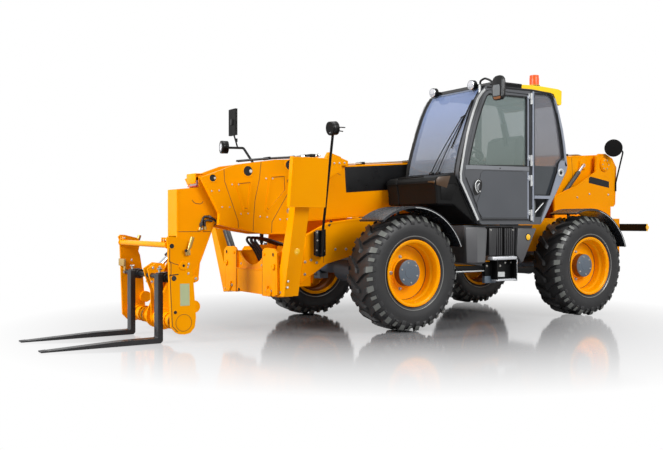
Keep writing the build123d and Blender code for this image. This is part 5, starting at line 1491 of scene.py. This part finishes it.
# plate holder, tow hitch plates and pin
addBox(bm, (-2.925, -0.150, 0.900), (-2.905, 0.150, 0.990), 0.003, 1)
for y in (-0.060, 0.040):
    addBox(bm, (-3.018, y, 0.560), (-2.905, y + 0.020, 0.720), 0.006, 5)
addRod(bm, (-2.985, -0.080, 0.640), (-2.985, 0.080, 0.640), 0.020, 18, 6)
# blank dark plates on the towers
for low, high in ((0.2702, 0.2722), (-0.2722, -0.2702)):
    addPrism(bm, [(-2.440, 1.705), (-2.866, 1.645), (-2.866, 1.735), (-2.440, 1.800)], low, high, mat=7)
makePiece("rearDressing", bm, "machine", ["blackPlastic", "glossBlack", "redLens", "amberLens",
                                                     "clearLens", "yellowPaint", "zincBolt", "glossBlack"], (), 36,
          0.0015)

bm = bmesh.new()
# engine cover: louvres, seams and handles; its outer side is at y -1.160
for row in range(9):
    z = 0.985 + row * 0.042
    for x0, x1 in ((-0.500, -0.060), (0.060, 0.500)):
        addPrism(bm, [(-1.1605, z), (-1.174, z + 0.006), (-1.174, z + 0.012), (-1.1605, z + 0.024)], x0, x1, "YZ",
                 0.0, 1)
for x0, x1 in ((-0.520, -0.040), (0.040, 0.520)):
    addRibbon(bm, [(x0, 0.965), (x1, 0.965), (x1, 1.375), (x0, 1.375)], -1.160, 0.010, -0.005, closed=True)
for row in range(6):
    y = -1.020 + row * 0.085
    addPrism(bm, [(y, 1.5555), (y + 0.010, 1.566), (y + 0.018, 1.566), (y + 0.045, 1.5555)], -0.420, 0.420, "YZ",
             mat=1)
for x in (-0.300, 0.300):
    addBox(bm, (x - 0.055, -1.170, 0.925), (x + 0.055, -1.158, 0.955), 0.004, 1)
    addTube(bm, [(x - 0.040, -1.168, 0.940), (x - 0.036, -1.185, 0.940), (x + 0.036, -1.185, 0.940),
                 (x + 0.040, -1.168, 0.940)], 0.006, 0.012, 10, 2)
addRibbon(bm, [(-0.560, 1.448), (0.560, 1.448)], -1.1602, 0.006, -0.001, mat=3)
for x in (-0.580, 0.580):
    way = 1 if x > 0 else -1
    for row in range(7):
        z = 1.020 + row * 0.048
        addPrism(bm, [(-0.980, z), (-0.560, z), (-0.560, z + 0.020), (-0.980, z + 0.020)], x, x + way * 0.010, "YZ",
                 0.0, 1)
# short exhaust outlet and the air cleaner cap
addRod(bm, (-0.470, -0.760, 1.545), (-0.470, -0.760, 1.640), 0.055, 28, 4)
addTube(bm, [(-0.470, -0.760, 1.630), (-0.470, -0.760, 1.672), (-0.510, -0.775, 1.690)], 0.034, 0.03, 24, 4)
addLathe(bm, (-0.470, -0.760, 1.555), (0, 0, 1), [(0, 0), (0.075, 0), (0.072, 0.014), (0.056, 0.018), (0, 0.018)],
         32, 1)
addLathe(bm, (0.300, -0.760, 1.555), (0, 0, 1), [(0, 0), (0.060, 0), (0.060, 0.030), (0.086, 0.036), (0.090, 0.056),
                                                 (0.070, 0.068), (0, 0.072)], 36, 1)
makePiece("coverDressing", bm, "hood", ["yellowPaint", "blackPlastic", "zincBolt", "seamAndShadeBrown",
                                                        "castSteel"], (), 34, 0.0015)

bm = bmesh.new()
# belly guard below the engine and a plate under the chassis
addBox(bm, (-0.420, -1.100, 0.650), (0.420, -0.640, 0.702), 0.012)
for x in (-0.300, 0.0, 0.300):
    addBox(bm, (x - 0.015, -1.080, 0.642), (x + 0.015, -0.660, 0.652))
for x, y in ((-0.38, -0.70), (0.38, -0.70), (-0.38, -1.05), (0.38, -1.05)):
    addBolt(bm, (x, y, 0.650), (0, 0, -1), 0.012, 1)
addBox(bm, (-0.300, -0.380, 0.540), (0.300, 0.380, 0.562), 0.01)
makePiece("bellyGuard", bm, "machine", ["blackPlastic", "zincBolt"], (), 34, 0.003)
print("rear and right side dressed")
